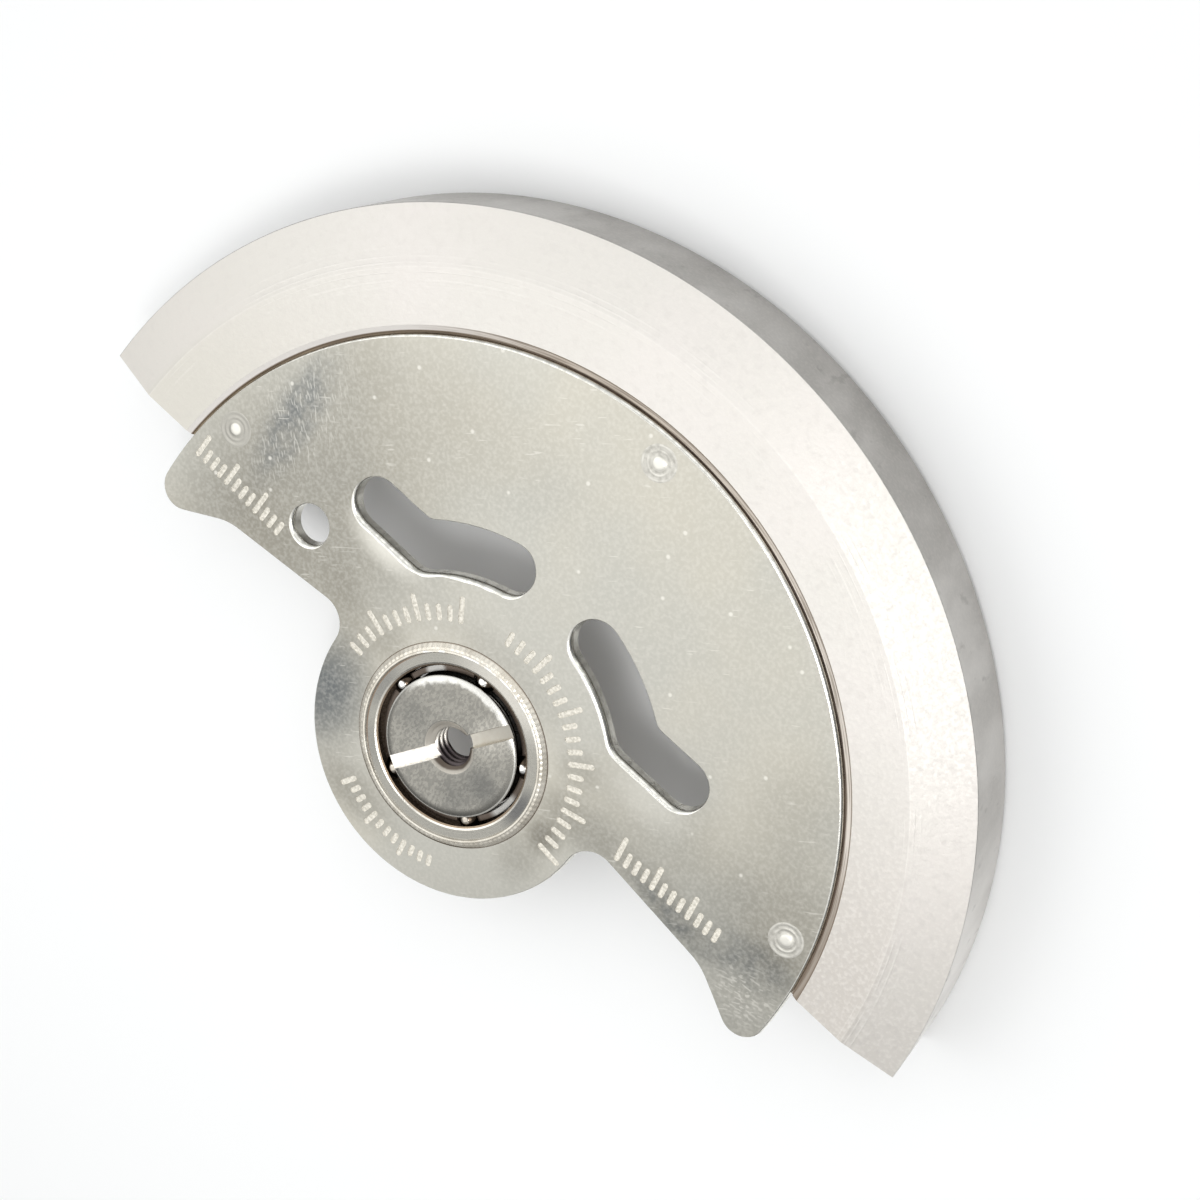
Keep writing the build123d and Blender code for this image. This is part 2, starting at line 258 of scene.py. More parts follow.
MARK_SLOPE_SHARE = 0.80
PLATE_WARM = (187, 183, 171)
PLATE_COOL = (180, 178, 169)
PLATE_WASH_LIGHT = (224, 221, 211)
PLATE_WASH_SHADE = (118, 114, 104)
PLATE_STAIN = (104, 107, 107)
PLATE_GLINT = (232, 229, 220)
EDGE_BRIGHT = (240, 238, 230)
UNDERSIDE = (164, 158, 144)
UNDERSIDE_STAIN = (130, 123, 107)
MARK_COLOUR = (240, 235, 223)
MARK_SHADE = (200, 195, 182)
# Broad washes over the plate: WASHES darken it as painted shade, PALE_WASHES lighten it as painted
# light.
WASHES = (                      # strength, x, y, reach along x, reach along y, turn
    (0.62, -6.5, 1.8, 5.5, 8.5), (0.20, -7.4, 6.2, 1.6, 1.8), (0.30, -4.6, 1.2, 1.3, 0.8, -30.0),
    (0.22, -3.4, 0.2, 1.1, 1.5), (0.22, -8.5, 1.2, 2.0, 3.6), (0.45, 6.5, 0.9, 2.6, 0.8, -6.0),
    (0.25, -7.2, 1.0, 2.4, 1.0, -6.0), (0.14, -3.5, 7.2, 4.0, 2.2), (0.35, 3.0, -1.0, 0.9, 1.2),
    (0.30, 3.1, 0.6, 0.9, 1.2), (0.35, -1.7, -3.1, 1.7, 1.2), (0.35, 9.3, 2.0, 1.1, 0.9),
    (0.35, 2.9, 2.0, 0.9, 0.8), (0.30, -2.8, 1.0, 0.7, 0.8), (0.30, -1.0, -3.1, 2.2, 0.8),
    (0.22, 0.0, 2.7, 3.0, 1.0), (0.80, 3.2, -0.1, 0.7, 0.7), (0.42, 3.9, 0.9, 2.0, 1.0),
    (0.25, 5.4, 2.0, 3.6, 2.4), (0.34, 8.8, 2.6, 2.6, 2.6), (0.18, 7.6, 5.2, 1.8, 2.2),
)
PALE_WASHES = ((0.75, -4.3, 3.05, 1.6, 0.8), (0.35, 4.7, 2.8, 1.5, 1.0))
STAINS = (                      # least share, strength, x, y, reach along x, along y, turn
    (0.42, 0.85, -8.04, 3.95, 0.85, 2.9), (0.45, 0.62, 8.9, 1.30, 1.9, 0.95, 14.0),
    (0.40, 0.72, 6.8, 0.75, 1.8, 0.55, -7.0), (0.92, 1.00, -3.55, -1.45, 2.0, 2.3, 8.0),
)
SCRATCHES = (                   # turn, marks to a mm across and along, least, then the patch
    (135.0, 22.0, 4.5, 0.64, -7.9, 4.0, 1.6, 3.4), (20.0, 16.0, 6.0, 0.60, 9.4, 0.6, 1.6, 1.2),
)
FINE_SCRATCHES = (40.0, 20.0, 2.5, 0.74)
SCRATCH_SOFTNESS = 0.08
PATCH_CORE, PATCH_DEPTH = 0.15, 1000.0
PLATE_RELIEF, FINE_RELIEF = 0.0008, 0.003
NICK_SCALE, NICK_SIZE, NICKS_FROM = 2.0, (0.05, 0.15), 0.80


def box_mm(node):
    """Lowest and highest corner of a solid, in millimetres."""
    low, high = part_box(node)
    return low / MM, high / MM


plate_low, plate_high = box_mm("rotor_plate")
PLATE_RADIUS, LOBE_RADIUS = plate_high.y, -plate_low.y
PLATE_TOP, PLATE_BOTTOM = plate_high.z, plate_low.z


def polar(radius, angle):
    """Point on a circle about the rotor's axis."""
    return radius * math.cos(math.radians(angle)), radius * math.sin(math.radians(angle))


def arc(centre, radius, start, end):
    """Points along an arc, with both its ends."""
    length = abs(math.radians(end - start)) * radius
    count = max(2, math.ceil(length / ARC_STEP), math.ceil(abs(end - start) / ARC_STEP_ANGLE))
    turns = [math.radians(start + (end - start) * k / count) for k in range(count + 1)]
    return [(centre[0] + radius * math.cos(a), centre[1] + radius * math.sin(a)) for a in turns]


def line(start, end):
    """Points along a straight edge, without its ends."""
    count = max(1, math.ceil(math.dist(start, end) / ARC_STEP))
    return [tuple(a + (b - a) * k / count for a, b in zip(start, end)) for k in range(1, count)]


def bearing_of(centre, place):
    """Angle of a place as seen from a centre."""
    return math.degrees(math.atan2(place[1] - centre[1], place[0] - centre[0]))


def centre_on(edge, offset, reach):
    """Point at a reach from the axis and an offset from an edge, given as a point and its slope."""
    (x, y), slope = edge
    along = (math.cos(math.radians(slope)), math.sin(math.radians(slope)))
    x, y = x - along[1] * offset, y + along[0] * offset
    lead = x * along[0] + y * along[1]
    run = -lead + math.sqrt(lead**2 - x**2 - y**2 + reach**2)
    return x + along[0] * run, y + along[1] * run


def plate_outline():
    """Outer edge of the plate, anticlockwise from the foot of the lobe."""
    bend_x = PLATE_RADIUS - WING_BEND_SETBACK
    bend = (bend_x, WING_LINE_OFFSET - bend_x * math.tan(math.radians(WING_SLOPE)))
    root = centre_on((bend, -WING_SLOPE), -LOBE_FILLET, LOBE_RADIUS + LOBE_FILLET)
    tip = centre_on((bend, -WING_TIP_SLOPE), WING_TIP_RADIUS, PLATE_RADIUS - WING_TIP_RADIUS)
    half_turn = (WING_TIP_SLOPE - WING_SLOPE) / 2
    setback = WING_BEND_RADIUS / math.cos(math.radians(half_turn))
    downwards = math.radians(-90 - WING_SLOPE - half_turn)
    knee = (bend[0] + setback * math.cos(downwards), bend[1] + setback * math.sin(downwards))
    lobe = arc((0, 0), LOBE_RADIUS, -90, bearing_of((0, 0), root))
    root_round = arc(root, LOBE_FILLET, 180 + bearing_of((0, 0), root), 90 - WING_SLOPE)
    knee_round = arc(knee, WING_BEND_RADIUS, 90 - WING_SLOPE, 90 - WING_TIP_SLOPE)
    tip_round = arc(tip, WING_TIP_RADIUS, -90 - WING_TIP_SLOPE, bearing_of((0, 0), tip))
    rim = arc((0, 0), PLATE_RADIUS, bearing_of((0, 0), tip), 90)
    half = lobe + root_round[1:] + line(root_round[-1], knee_round[0]) + knee_round
    half += line(knee_round[-1], tip_round[0]) + tip_round + rim[1:]
    return half + [(-x, y) for x, y in half[-2:0:-1]]


def slot_outline(side):
    """Edge of one cranked slot, clockwise; side is 1 for the right slot and -1 for the left."""
    middle = LOBE_RADIUS + SLOT_LAND + SLOT_WIDTH / 2
    half = SLOT_WIDTH / 2
    start, bend = polar(middle, 90 - SLOT_START), polar(middle, 90 - SLOT_BEND)
    end = (bend[0] + SLOT_RUN, bend[1])
    kink_height = bend[1] + half + SLOT_BEND_FILLET
    reach = middle + half + SLOT_BEND_FILLET
    kink = (math.sqrt(reach**2 - kink_height**2), kink_height)
    points = arc(start, half, 90 - SLOT_START, 270 - SLOT_START)
    points += arc((0, 0), middle - half, 90 - SLOT_START, 90 - SLOT_BEND)[1:-1]
    points += arc(bend, half, 270 - SLOT_BEND, 270)
    points += line((bend[0], bend[1] - half), (end[0], end[1] - half)) + arc(end, half, -90, 90)
    points += line((end[0], end[1] + half), (kink[0], end[1] + half))
    points += arc(kink, SLOT_BEND_FILLET, -90, bearing_of(kink, (0, 0)))
    points += arc((0, 0), middle + half, bearing_of((0, 0), kink), 90 - SLOT_START)[1:-1]
    return points[::-1] if side > 0 else [(-x, y) for x, y in points]


def round_edge(above, below):
    """Profile of a burnished edge as (inset, height), with its rounding above and below."""
    turns = [math.radians(90 * k / ROUND_STEPS) for k in range(ROUND_STEPS + 1)]
    upper = [(above * (1 - math.sin(t)), PLATE_TOP - above * (1 - math.cos(t))) for t in turns]
    lower = [(below * (1 - math.sin(t)), PLATE_BOTTOM + below * (1 - math.cos(t))) for t in turns]
    return upper + lower[::-1]


def piece(name, mesh):
    """New object from a bmesh, welded and with its faces turned outwards."""
    bmesh.ops.remove_doubles(mesh, verts=mesh.verts, dist=NEAR)
    bmesh.ops.recalc_face_normals(mesh, faces=mesh.faces)
    data = bpy.data.meshes.new(name)
    mesh.to_mesh(data)
    mesh.free()
    return shown(name, data)


def roll(here, run, rough):
    """Share of an edge's full rounding: the press rolled the edges that face the rim over most."""
    facing = max(0.0, Vector((run.y, -run.x)) @ Vector(polar(1, ROLL_SIDE)))
    burr = rough * noise.noise(Vector((*here, 0)) * BURR_SCALE)
    return (ROLL_LEAST + (1 - ROLL_LEAST) * facing) * (1 + burr)


def sheet(outlines):
    """Flat sheet from outlines with the metal on their left, each with its profile and burr."""
    mesh = bmesh.new()
    faces = ([], [])
    for points, profile, rough in outlines:
        around = list(zip(points[-1:] + points[:-1], points, points[1:] + points[:1]))
        rows = []
        for inset, z in profile:
            row = []
            for before, here, after in around:
                run = Vector((after[0] - before[0], after[1] - before[1])).normalized()
                reach = inset * (roll(here, run, rough) if rough else 1)
                row.append(mesh.verts.new((here[0] - run.y * reach, here[1] + run.x * reach, z)))
            rows.append(row)
        for upper, lower in zip(rows, rows[1:]):
            for k in range(len(points)):
                face = mesh.faces.new((upper[k - 1], lower[k - 1], lower[k], upper[k]))
                face.smooth = True
                face.material_index = 1
        for face, row in zip(faces, (rows[0], rows[-1])):
            face.extend(mesh.edges.get((row[k - 1], row[k])) for k in range(len(row)))
    for finish, face in zip((0, 2), faces):
        filled = bmesh.ops.triangle_fill(mesh, use_beauty=True, use_dissolve=False, edges=face)
        for made in filled["geom"]:
            if isinstance(made, bmesh.types.BMFace):
                made.material_index = finish
    return mesh


def copies_tree():
    """Node tree that sets copies of a shape round the axis, or in a row, and welds them."""
    tree = bpy.data.node_groups.new("copies", "GeometryNodeTree")
    sockets = (("Geometry", "Geometry"), ("Copies", "Int"), ("First angle", "Float"),
               ("Step angle", "Float"), ("Shift", "Vector"), ("Weld distance", "Float"),
               ("Finish", "Material"))
    for name, kind in sockets:
        tree.interface.new_socket(name, in_out="INPUT", socket_type=f"NodeSocket{kind}")
    tree.interface.new_socket("Geometry", in_out="OUTPUT", socket_type="NodeSocketGeometry")
    given = add(tree, "NodeGroupInput").outputs
    index = add(tree, "GeometryNodeInputIndex").outputs[0]
    moved = add(tree, "ShaderNodeVectorMath", [(0, given["Shift"]), ("Scale", index)],
                operation="SCALE")
    angle = maths("MULTIPLY_ADD", index, given["Step angle"], given["First angle"])
    turn = add(tree, "ShaderNodeCombineXYZ", [("Z", maths("RADIANS", angle))]).outputs[0]
    shape = add(tree, "GeometryNodePoints",
                [("Count", given["Copies"]), ("Position", moved.outputs[0])]).outputs[0]
    for kind, taken, others in (
            ("InstanceOnPoints", "Points", [("Instance", given["Geometry"]), ("Rotation", turn)]),
            ("RealizeInstances", "Geometry", []),
            ("MergeByDistance", "Geometry", [("Distance", given["Weld distance"])]),
            ("SetMaterial", "Geometry", [("Material", given["Finish"])])):
        shape = add(tree, f"GeometryNode{kind}", [(taken, shape), *others]).outputs[0]
    add(tree, "NodeGroupOutput", [("Geometry", shape)])
    return tree


COPIES = copies_tree()
WELD = 1e-4                     # copies are joined where they come this close


def copy_round(shape, finish, **sizes):
    """Gives a shape the tree of copies, with its sizes set by the inputs' names."""
    modifier = shape.modifiers.new("copies", "NODES")
    modifier.node_group = COPIES
    values = {"Weld distance": WELD, "Finish": finish}
    values.update({name.replace("_", " ").capitalize(): value for name, value in sizes.items()})
    for socket in COPIES.interface.items_tree:
        if socket.in_out == "INPUT" and socket.name in values:
            modifier[socket.identifier] = values[socket.name]
    shape.update_tag()
    return shape


def settled(shape, scale=1.0):
    """Turns what an object's modifiers give into its plain mesh."""
    bpy.context.view_layer.update()
    graph = bpy.context.evaluated_depsgraph_get()
    data = bpy.data.meshes.new_from_object(shape.evaluated_get(graph), depsgraph=graph)
    shape.modifiers.clear()
    data.transform(Matrix.Scale(scale, 4))
    data.name = shape.name
    shape.data = data
    return shape


def finished(shape):
    """Weights the normals of a shape by its large faces and brings it to metres."""
    shape.modifiers.new("normals", "WEIGHTED_NORMAL").keep_sharp = True
    return settled(shape, MM)


def cut_out(shape, cutters):
    """Cuts shapes out of another, which takes on their finish there, and finishes it."""
    for cutter in cutters:
        cut = shape.modifiers.new(cutter.name, "BOOLEAN")
        cut.object = cutter
        cut.operation = "DIFFERENCE"
        cut.solver = "EXACT"
        cut.material_mode = "TRANSFER"
    finished(shape)
    for cutter in cutters:
        bpy.data.objects.remove(cutter)


def metal(name, colour, roughness, metallic=1.0):
    """New metal, and the place on it in millimetres."""
    made = bpy.data.materials.new(name)
    made.use_nodes = True
    shader = made.node_tree.nodes["Principled BSDF"]
    shader.inputs["Base Color"].default_value = linear(colour)
    shader.inputs["Roughness"].default_value = roughness
    shader.inputs["Metallic"].default_value = metallic
    coordinates = add(made.node_tree, "ShaderNodeTexCoord").outputs["Object"]
    place = add(coordinates, "ShaderNodeVectorMath", [(0, coordinates), ("Scale", 1 / MM)],
                operation="SCALE")
    return made, place.outputs[0]


def dressed(made, colour, roughness=None, height=None, depth=0.0, metallic=None):
    """Metal with its tone linked, and where given its other looks and a fine relief."""
    tree = made.node_tree
    if height is not None:
        bump = add(tree, "ShaderNodeBump", [("Height", height), ("Distance", depth * MM)])
        height = bump.outputs[0]
    looks = {"Base Color": colour, "Roughness": roughness, "Metallic": metallic, "Normal": height}
    for socket, look in looks.items():
        if look is not None:
            tree.links.new(look, tree.nodes["Principled BSDF"].inputs[socket])
    return made


# Limits of the noise: soft clouds, an even spread, and grains that stand out.
CLOUDS, SPREAD, GRAINS = (0.35, 0.65), (0.3, 0.7), (0.35, 0.7)


def grain(place, scale, detail=2.0, stretch=None):
    """Noise at a number of spots to the millimetre, drawn out along an axis if asked."""
    if stretch:
        place = add(place, "ShaderNodeMapping", [("Vector", place), ("Scale", stretch)]).outputs[0]
    inputs = [("Vector", place), ("Scale", scale), ("Detail", detail)]
    return add(place, "ShaderNodeTexNoise", inputs).outputs["Fac"]


def mixed(share, first, second):
    """Colour between two, each a screen colour or another mix."""
    colours = [c if isinstance(c, bpy.types.NodeSocket) else linear(c) for c in (first, second)]
    inputs = [("Factor", share), (6, colours[0]), (7, colours[1])]
    return add(share, "ShaderNodeMix", inputs, data_type="RGBA").outputs[2]


def patch(place, x, y, wide, high, turn=0.0):
    """Share that is 1 at the middle of an upright elliptical patch and 0 outside it."""
    inputs = [("Vector", place), ("Location", (x, y, 0)), ("Scale", (wide, high, PATCH_DEPTH)),
              ("Rotation", (0, 0, math.radians(turn)))]
    local = add(place, "ShaderNodeMapping", inputs, vector_type="TEXTURE").outputs[0]
    return between(vectors("LENGTH", local), PATCH_CORE, 1.0, 1.0, 0.0)


def tinted(colour, tone, strength, place, *spot):
    """Colour with a patch of another tone on it."""
    return mixed(times(patch(place, *spot), strength), colour, tone)


def scratches(place, angle, across, along, least):
    """Share of a face that short fine scratches along one direction cover."""
    inputs = [("Vector", place), ("Rotation", (0, 0, math.radians(angle))),
              ("Scale", (1 / along, 1 / across, 1.0))]
    lines = add(place, "ShaderNodeMapping", inputs, vector_type="TEXTURE").outputs[0]
    return between(grain(lines, 1.0, 0.0), least, least + SCRATCH_SOFTNESS)


def plain_metal(name, tones, rough, scale, detail=4.0, depth=FINE_RELIEF, metallic=1.0,
                limits=GRAINS, share=1.0, stretch=None):
    """Metal in two tones, its roughness between two values, its relief fine, all by one grain."""
    made, place = metal(name, tones[0], rough[0], metallic)
    fine = grain(place, scale, detail, stretch)
    tone = mixed(between(fine, *limits, 0.0, share), *tones)
    uneven = between(fine, *SPREAD, *rough) if rough[0] != rough[1] else None
    return dressed(made, tone, uneven, fine, depth)


def plate_finish():
    """Satin plating with washes of painted shade and light, darker stains, pale nicks, fine
    scratches, grain.
    """
    made, place = metal("plated_satin", PLATE_WARM, 0.30)
    colour = mixed(between(grain(place, 0.22), *CLOUDS), PLATE_WARM, PLATE_COOL)
    # Washes of painted shade and painted light.
    for tone, washes in ((PLATE_WASH_SHADE, WASHES), (PLATE_WASH_LIGHT, PALE_WASHES)):
        for strength, *spot in washes:
            colour = tinted(colour, tone, strength, place, *spot)
    cloud = grain(place, 2.6, 5.0)
    for least, strength, *spot in STAINS:
        ragged = between(cloud, 0.36, 0.64, least * strength, strength)
        colour = tinted(colour, PLATE_STAIN, ragged, place, *spot)
    spots = add(place, "ShaderNodeTexVoronoi", [("Vector", place), ("Scale", NICK_SCALE)]).outputs
    chosen = add(place, "ShaderNodeSeparateColor", [("Color", spots["Color"])]).outputs[0]
    nicks = times(between(spots["Distance"], *NICK_SIZE, 1.0, 0.0),
                  maths("GREATER_THAN", chosen, NICKS_FROM))
    left, tip = (times(patch(place, *row[4:]), scratches(place, *row[:4])) for row in SCRATCHES)
    lighter_share = between(grain(place, 0.7), 0.45, 0.62)
    lines = larger(larger(left, tip), times(lighter_share, scratches(place, *FINE_SCRATCHES)))
    brightened = larger(times(lines, 0.5), nicks)
    colour = mixed(times(brightened, 0.75), colour, PLATE_GLINT)
    fine = grain(place, 11.0, 3.0)
    colour = mixed(between(fine, 0.35, 0.75, 0.0, 0.20), colour, PLATE_GLINT)
    rough = plus(between(fine, *SPREAD, 0.28, 0.36), times(brightened, 0.2))
    height = plus(grain(place, 6.0, 1.0), times(brightened, 0.3))
    return dressed(made, colour, rough, height, PLATE_RELIEF)


def underside_finish():
    """Underside of the sheet, dull and stained by oil."""
    made, place = metal("dull_underside", UNDERSIDE, 0.45)
    tone = mixed(between(grain(place, 1.2, 4.0), *CLOUDS), UNDERSIDE, UNDERSIDE_STAIN)
    return dressed(made, tone, None, grain(place, 9.0, 3.0), FINE_RELIEF)


def strokes(name, marks):
    """Cutter for marks, each given as its length and the matrix that places a stroke along X."""
    mesh = bmesh.new()
    half = MARK_WIDTH / 2
    for length, place in marks:
        rows = []
        for share, z in ((1.0, MARK_DEPTH), (1.0, 0.0), (MARK_SLOPE_SHARE, -MARK_DEPTH)):
            outline = arc((length - half, 0), half * share, -90, 90)
            outline += arc((half, 0), half * share, 90, 270)
            rows.append([mesh.verts.new(place @ Vector((x, y, PLATE_TOP + z))) for x, y in outline])
        for upper, lower in zip(rows, rows[1:]):
            for k in range(len(upper)):
                mesh.faces.new((upper[k - 1], lower[k - 1], lower[k], upper[k]))
        mesh.faces.new(rows[0])
        mesh.faces.new(rows[-1][::-1])
    return piece(name, mesh)


def turned(angle):
    """Turn about the axis, in degrees."""
    return Matrix.Rotation(math.radians(angle), 4, "Z")


def hole(centre, radius):
    """Edge of a round hole, clockwise."""
    return arc(centre, radius, 360, 0)[:-1]


burnished = round_edge(SLOT_ROUND, BOTTOM_ROUND)
seat = [(RIVET_HEAD_RADIUS - RIVET_SHANK_RADIUS, PLATE_TOP), (0, PLATE_TOP - RIVET_HEAD_DEPTH),
        (0, PLATE_BOTTOM)]
outlines = [
    (plate_outline(), round_edge(TOP_ROUND, BOTTOM_ROUND), BURR_SHARE),
    (slot_outline(1), burnished, BURR_SHARE),
    (slot_outline(-1), burnished, BURR_ROUGH_SHARE),
    (hole(SIGHT_HOLE, SIGHT_HOLE_RADIUS), burnished, BURR_SHARE),
    (hole((0, 0), BORE_RADIUS), [(0, PLATE_TOP), (0, PLATE_BOTTOM)], 0),
]
for k in range(RIVET_COUNT):
    centre = polar(RIVET_CIRCLE, RIVET_FIRST + RIVET_STEP * k)
    outlines.append((hole(centre, RIVET_SHANK_RADIUS), seat, 0))
plate = piece("rotor_plate_sheet", sheet(outlines))
burnished_edge = plain_metal("burnished_edge", (EDGE_BRIGHT, PLATE_COOL), (0.18, 0.28), 6.0, 3.0,
                             0.0015, share=0.5, stretch=(1, 1, 0.4))
for finish in (plate_finish(), burnished_edge, underside_finish()):
    plate.data.materials.append(finish)
frosted = plain_metal("frosted_cut", (MARK_COLOUR, MARK_SHADE), (0.6, 0.6), 14.0, 3.0, 0.004,
                      0.15, SPREAD)
cutters = []
for lengths, copies, first, pitch, start in SCALES:
    marks = [(length, turned(pitch * k) @ Matrix.Translation((start, 0, 0)))
             for k, length in enumerate(lengths)]
    cutters.append(copy_round(strokes("scale_marks", marks), frosted, copies=copies,
                              first_angle=first, step_angle=pitch * len(lengths)))
for lengths, copies, first, pitch, turn in ROWS:
    places = [Vector((*first, 0)) + k * Vector((*pitch, 0)) for k in range(len(lengths))]
    marks = [(n, Matrix.Translation(p) @ turned(turn)) for n, p in zip(lengths, places)]
    cutters.append(copy_round(strokes("row_marks", marks), frosted, copies=copies,
                              shift=tuple(Vector((*pitch, 0)) * len(lengths))))
cut_out(plate, [settled(cutter) for cutter in cutters])
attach(plate, "rotor")
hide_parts("rotor_plate")

# Heavy rim: sintered tungsten alloy, turned on its top and left dull on its outer wall.
# Its inner ledge passes under the plate and takes the rivets; both ends are sawn on one line.
RIM_GAP = 0.05
RIM_INNER_CHAMFER = 0.16
RIM_CHAMFER_DROP = 0.055
RIM_BEVEL_WIDTH = 1.45
RIM_BEVEL_DROP = 0.41
RIM_BOTTOM_CHAMFER = 0.15
RIM_LAP = 0.23
LEDGE_LAP = 1.33
LEDGE_THICKNESS = 1.00
RIM_COLUMNS = 300
CORNER_STEPS = 4
END_BEVEL = 0.035
END_BEVEL_FROM = 50.0
RIM_FACE = (226, 221, 215)
RIM_FACE_COOL = (223, 219, 212)
RIM_FACE_PALE = (243, 239, 233)
RIM_END_SHADE = (207, 201, 193)
RIM_LEFT_END_SHADE = (213, 209, 199)
RIM_GRAIN_DARK = (206, 201, 195)
RIM_WALL_SPOT = (128, 124, 120)
RIM_WALL = (240, 237, 233)
RIM_WALL_SHADE = (172, 169, 165)
# A dark sheet lies in the gap between plate and rim: browns of oil, and painted shade of the gap,
# darkest in the middle.
SHADE_SHEET_CLEARANCE = 0.006
SHADE_SHEET_DROP = 0.10
SHADE_SHEET_WAVE = 0.05
SHADE_SHEET_WAVE_SCALE = 0.8
GAP_SHADE_TONES = (                  # share of the half turn from the right end, colour
    (0.00, (160, 144, 126)), (0.12, (104, 86, 70)), (0.28, (58, 44, 34)),
    (0.58, (76, 58, 44)), (0.74, (118, 102, 80)), (1.00, (146, 130, 106)),
)
# Tones of the inner chamfer round the arc, from the right end: painted reflection, dark at the
# right end and pale further on.
CHAMFER_REFLECTION_TONES = (
    (0.00, (150, 139, 127)), (0.12, (166, 155, 143)), (0.18, (226, 217, 206)),
    (0.30, (222, 213, 202)), (0.42, (216, 205, 192)), (0.60, (202, 190, 176)),
    (0.73, RIM_FACE), (1.00, RIM_FACE),
)
CHAMFER_STREAK = (112, 96, 78)
RIM_LINES = 14.0                # turning lines to a mm
RIM_LINES_REACH = (0.1, 0.6)    # from the ridge, where they fade
RIM_CREST_HIGHLIGHT = 0.035
RIM_SHADED_ENDS = (2.0, 9.5)           # along Y, where the painted shade of the ends fades
RIM_SIDES = (-10.0, 12.0)       # along X, where the grain grows coarser
RIM_RELIEF = 0.0045
WALL_LIGHT_BANDS = ((1.0, 9.0, 0.28), (10.4, 13.3, 0.66))    # from and to along X, share of painted light
BRINK_INSET = 0.014
BRINK_LINE = (0.010, 0.028)
FOOT_LINE = (0.140, 0.110)
FOOT_FROM = (0.58, 0.70)
STREAKS_TO = (0.62, 0.74)

rim_low, rim_high = box_mm("oscillating_weight")
RIM_RADIUS, RIM_TOP, RIM_BOTTOM, RIM_END = rim_high.y, rim_high.z, rim_low.z, rim_low.y


def rounded(corners):
    """Closed section whose corners, as (x, z, rounding, finish), are rounded off in small steps.
    Each point keeps the finish of the face that starts at its corner."""
    points = []
    for k, (x, z, radius, finish) in enumerate(corners):
        here = Vector((x, z))
        before, after = Vector(corners[k - 1][:2]), Vector(corners[(k + 1) % len(corners)][:2])
        if radius == 0:
            points.append((x, z, finish))
            continue
        into, out = (here - before).normalized(), (after - here).normalized()
        turn = math.atan2(into.x * out.y - into.y * out.x, into.dot(out))
        start = here - into * radius * math.tan(abs(turn) / 2)
        side = Vector((-into.y, into.x)) * math.copysign(1, turn)
        for step in range(CORNER_STEPS + 1):
            a = abs(turn) * step / CORNER_STEPS
            at = start + into * radius * math.sin(a) + side * radius * (1 - math.cos(a))
            points.append((at.x, at.y, finish))
    return points


def skin(rows, finishes, round_closed):
    """Faces between closed rows of points: each row is a ring of the surface or a strip of it."""
    mesh = bmesh.new()
    grid = [[mesh.verts.new(point) for point in row] for row in rows]
    last = len(rows[0]) if round_closed else len(rows[0]) - 1
    for r, finish in enumerate(finishes):
        lower, upper = grid[r], grid[(r + 1) % len(grid)]
        for k in range(last):
            after = (k + 1) % len(lower)
            face = mesh.faces.new((lower[k], lower[after], upper[after], upper[k]))
            face.smooth = True
            face.material_index = finish
    return mesh, grid


def axis(place, name):
    """One coordinate of a place."""
    return add(place, "ShaderNodeSeparateXYZ", [(0, place)]).outputs[name]


def out_from_axis(place):
    """Distance of a place from the rotor's axis."""
    return vectors("LENGTH", vectors("MULTIPLY", place, (1, 1, 0)))


def turning(radius, scale):
    """Fine lines that the lathe left, at a number of them to the millimetre."""
    inputs = [("W", radius), ("Scale", scale), ("Detail", 2.0)]
    return add(radius, "ShaderNodeTexNoise", inputs, noise_dimensions="1D").outputs["Fac"]


def half_turn(place):
    """Share of the half turn from the right end of the rim round to its left end."""
    return maths("DIVIDE", maths("ARCTAN2", axis(place, "Y"), axis(place, "X")), math.pi)


def streaks(place, along, across):
    """Noise drawn out along the arc of the rim."""
    run = times(half_turn(place), along * math.pi * PLATE_RADIUS)
    inputs = [("X", run), ("Y", times(out_from_axis(place), across))]
    return grain(add(place, "ShaderNodeCombineXYZ", inputs).outputs[0], 1.0, 3.0)


def ramped(share, stops):
    """Colour that follows a share through stops, each a place and a screen colour."""
    found = add(share, "ShaderNodeValToRGB", [(0, share)])
    elements = found.color_ramp.elements
    for element, (at, colour) in zip((elements[0], elements[1]), (stops[0], stops[-1])):
        element.position, element.color = at, linear(colour)
    for at, colour in stops[1:-1]:
        elements.new(at).color = linear(colour)
    return found.outputs["Color"]


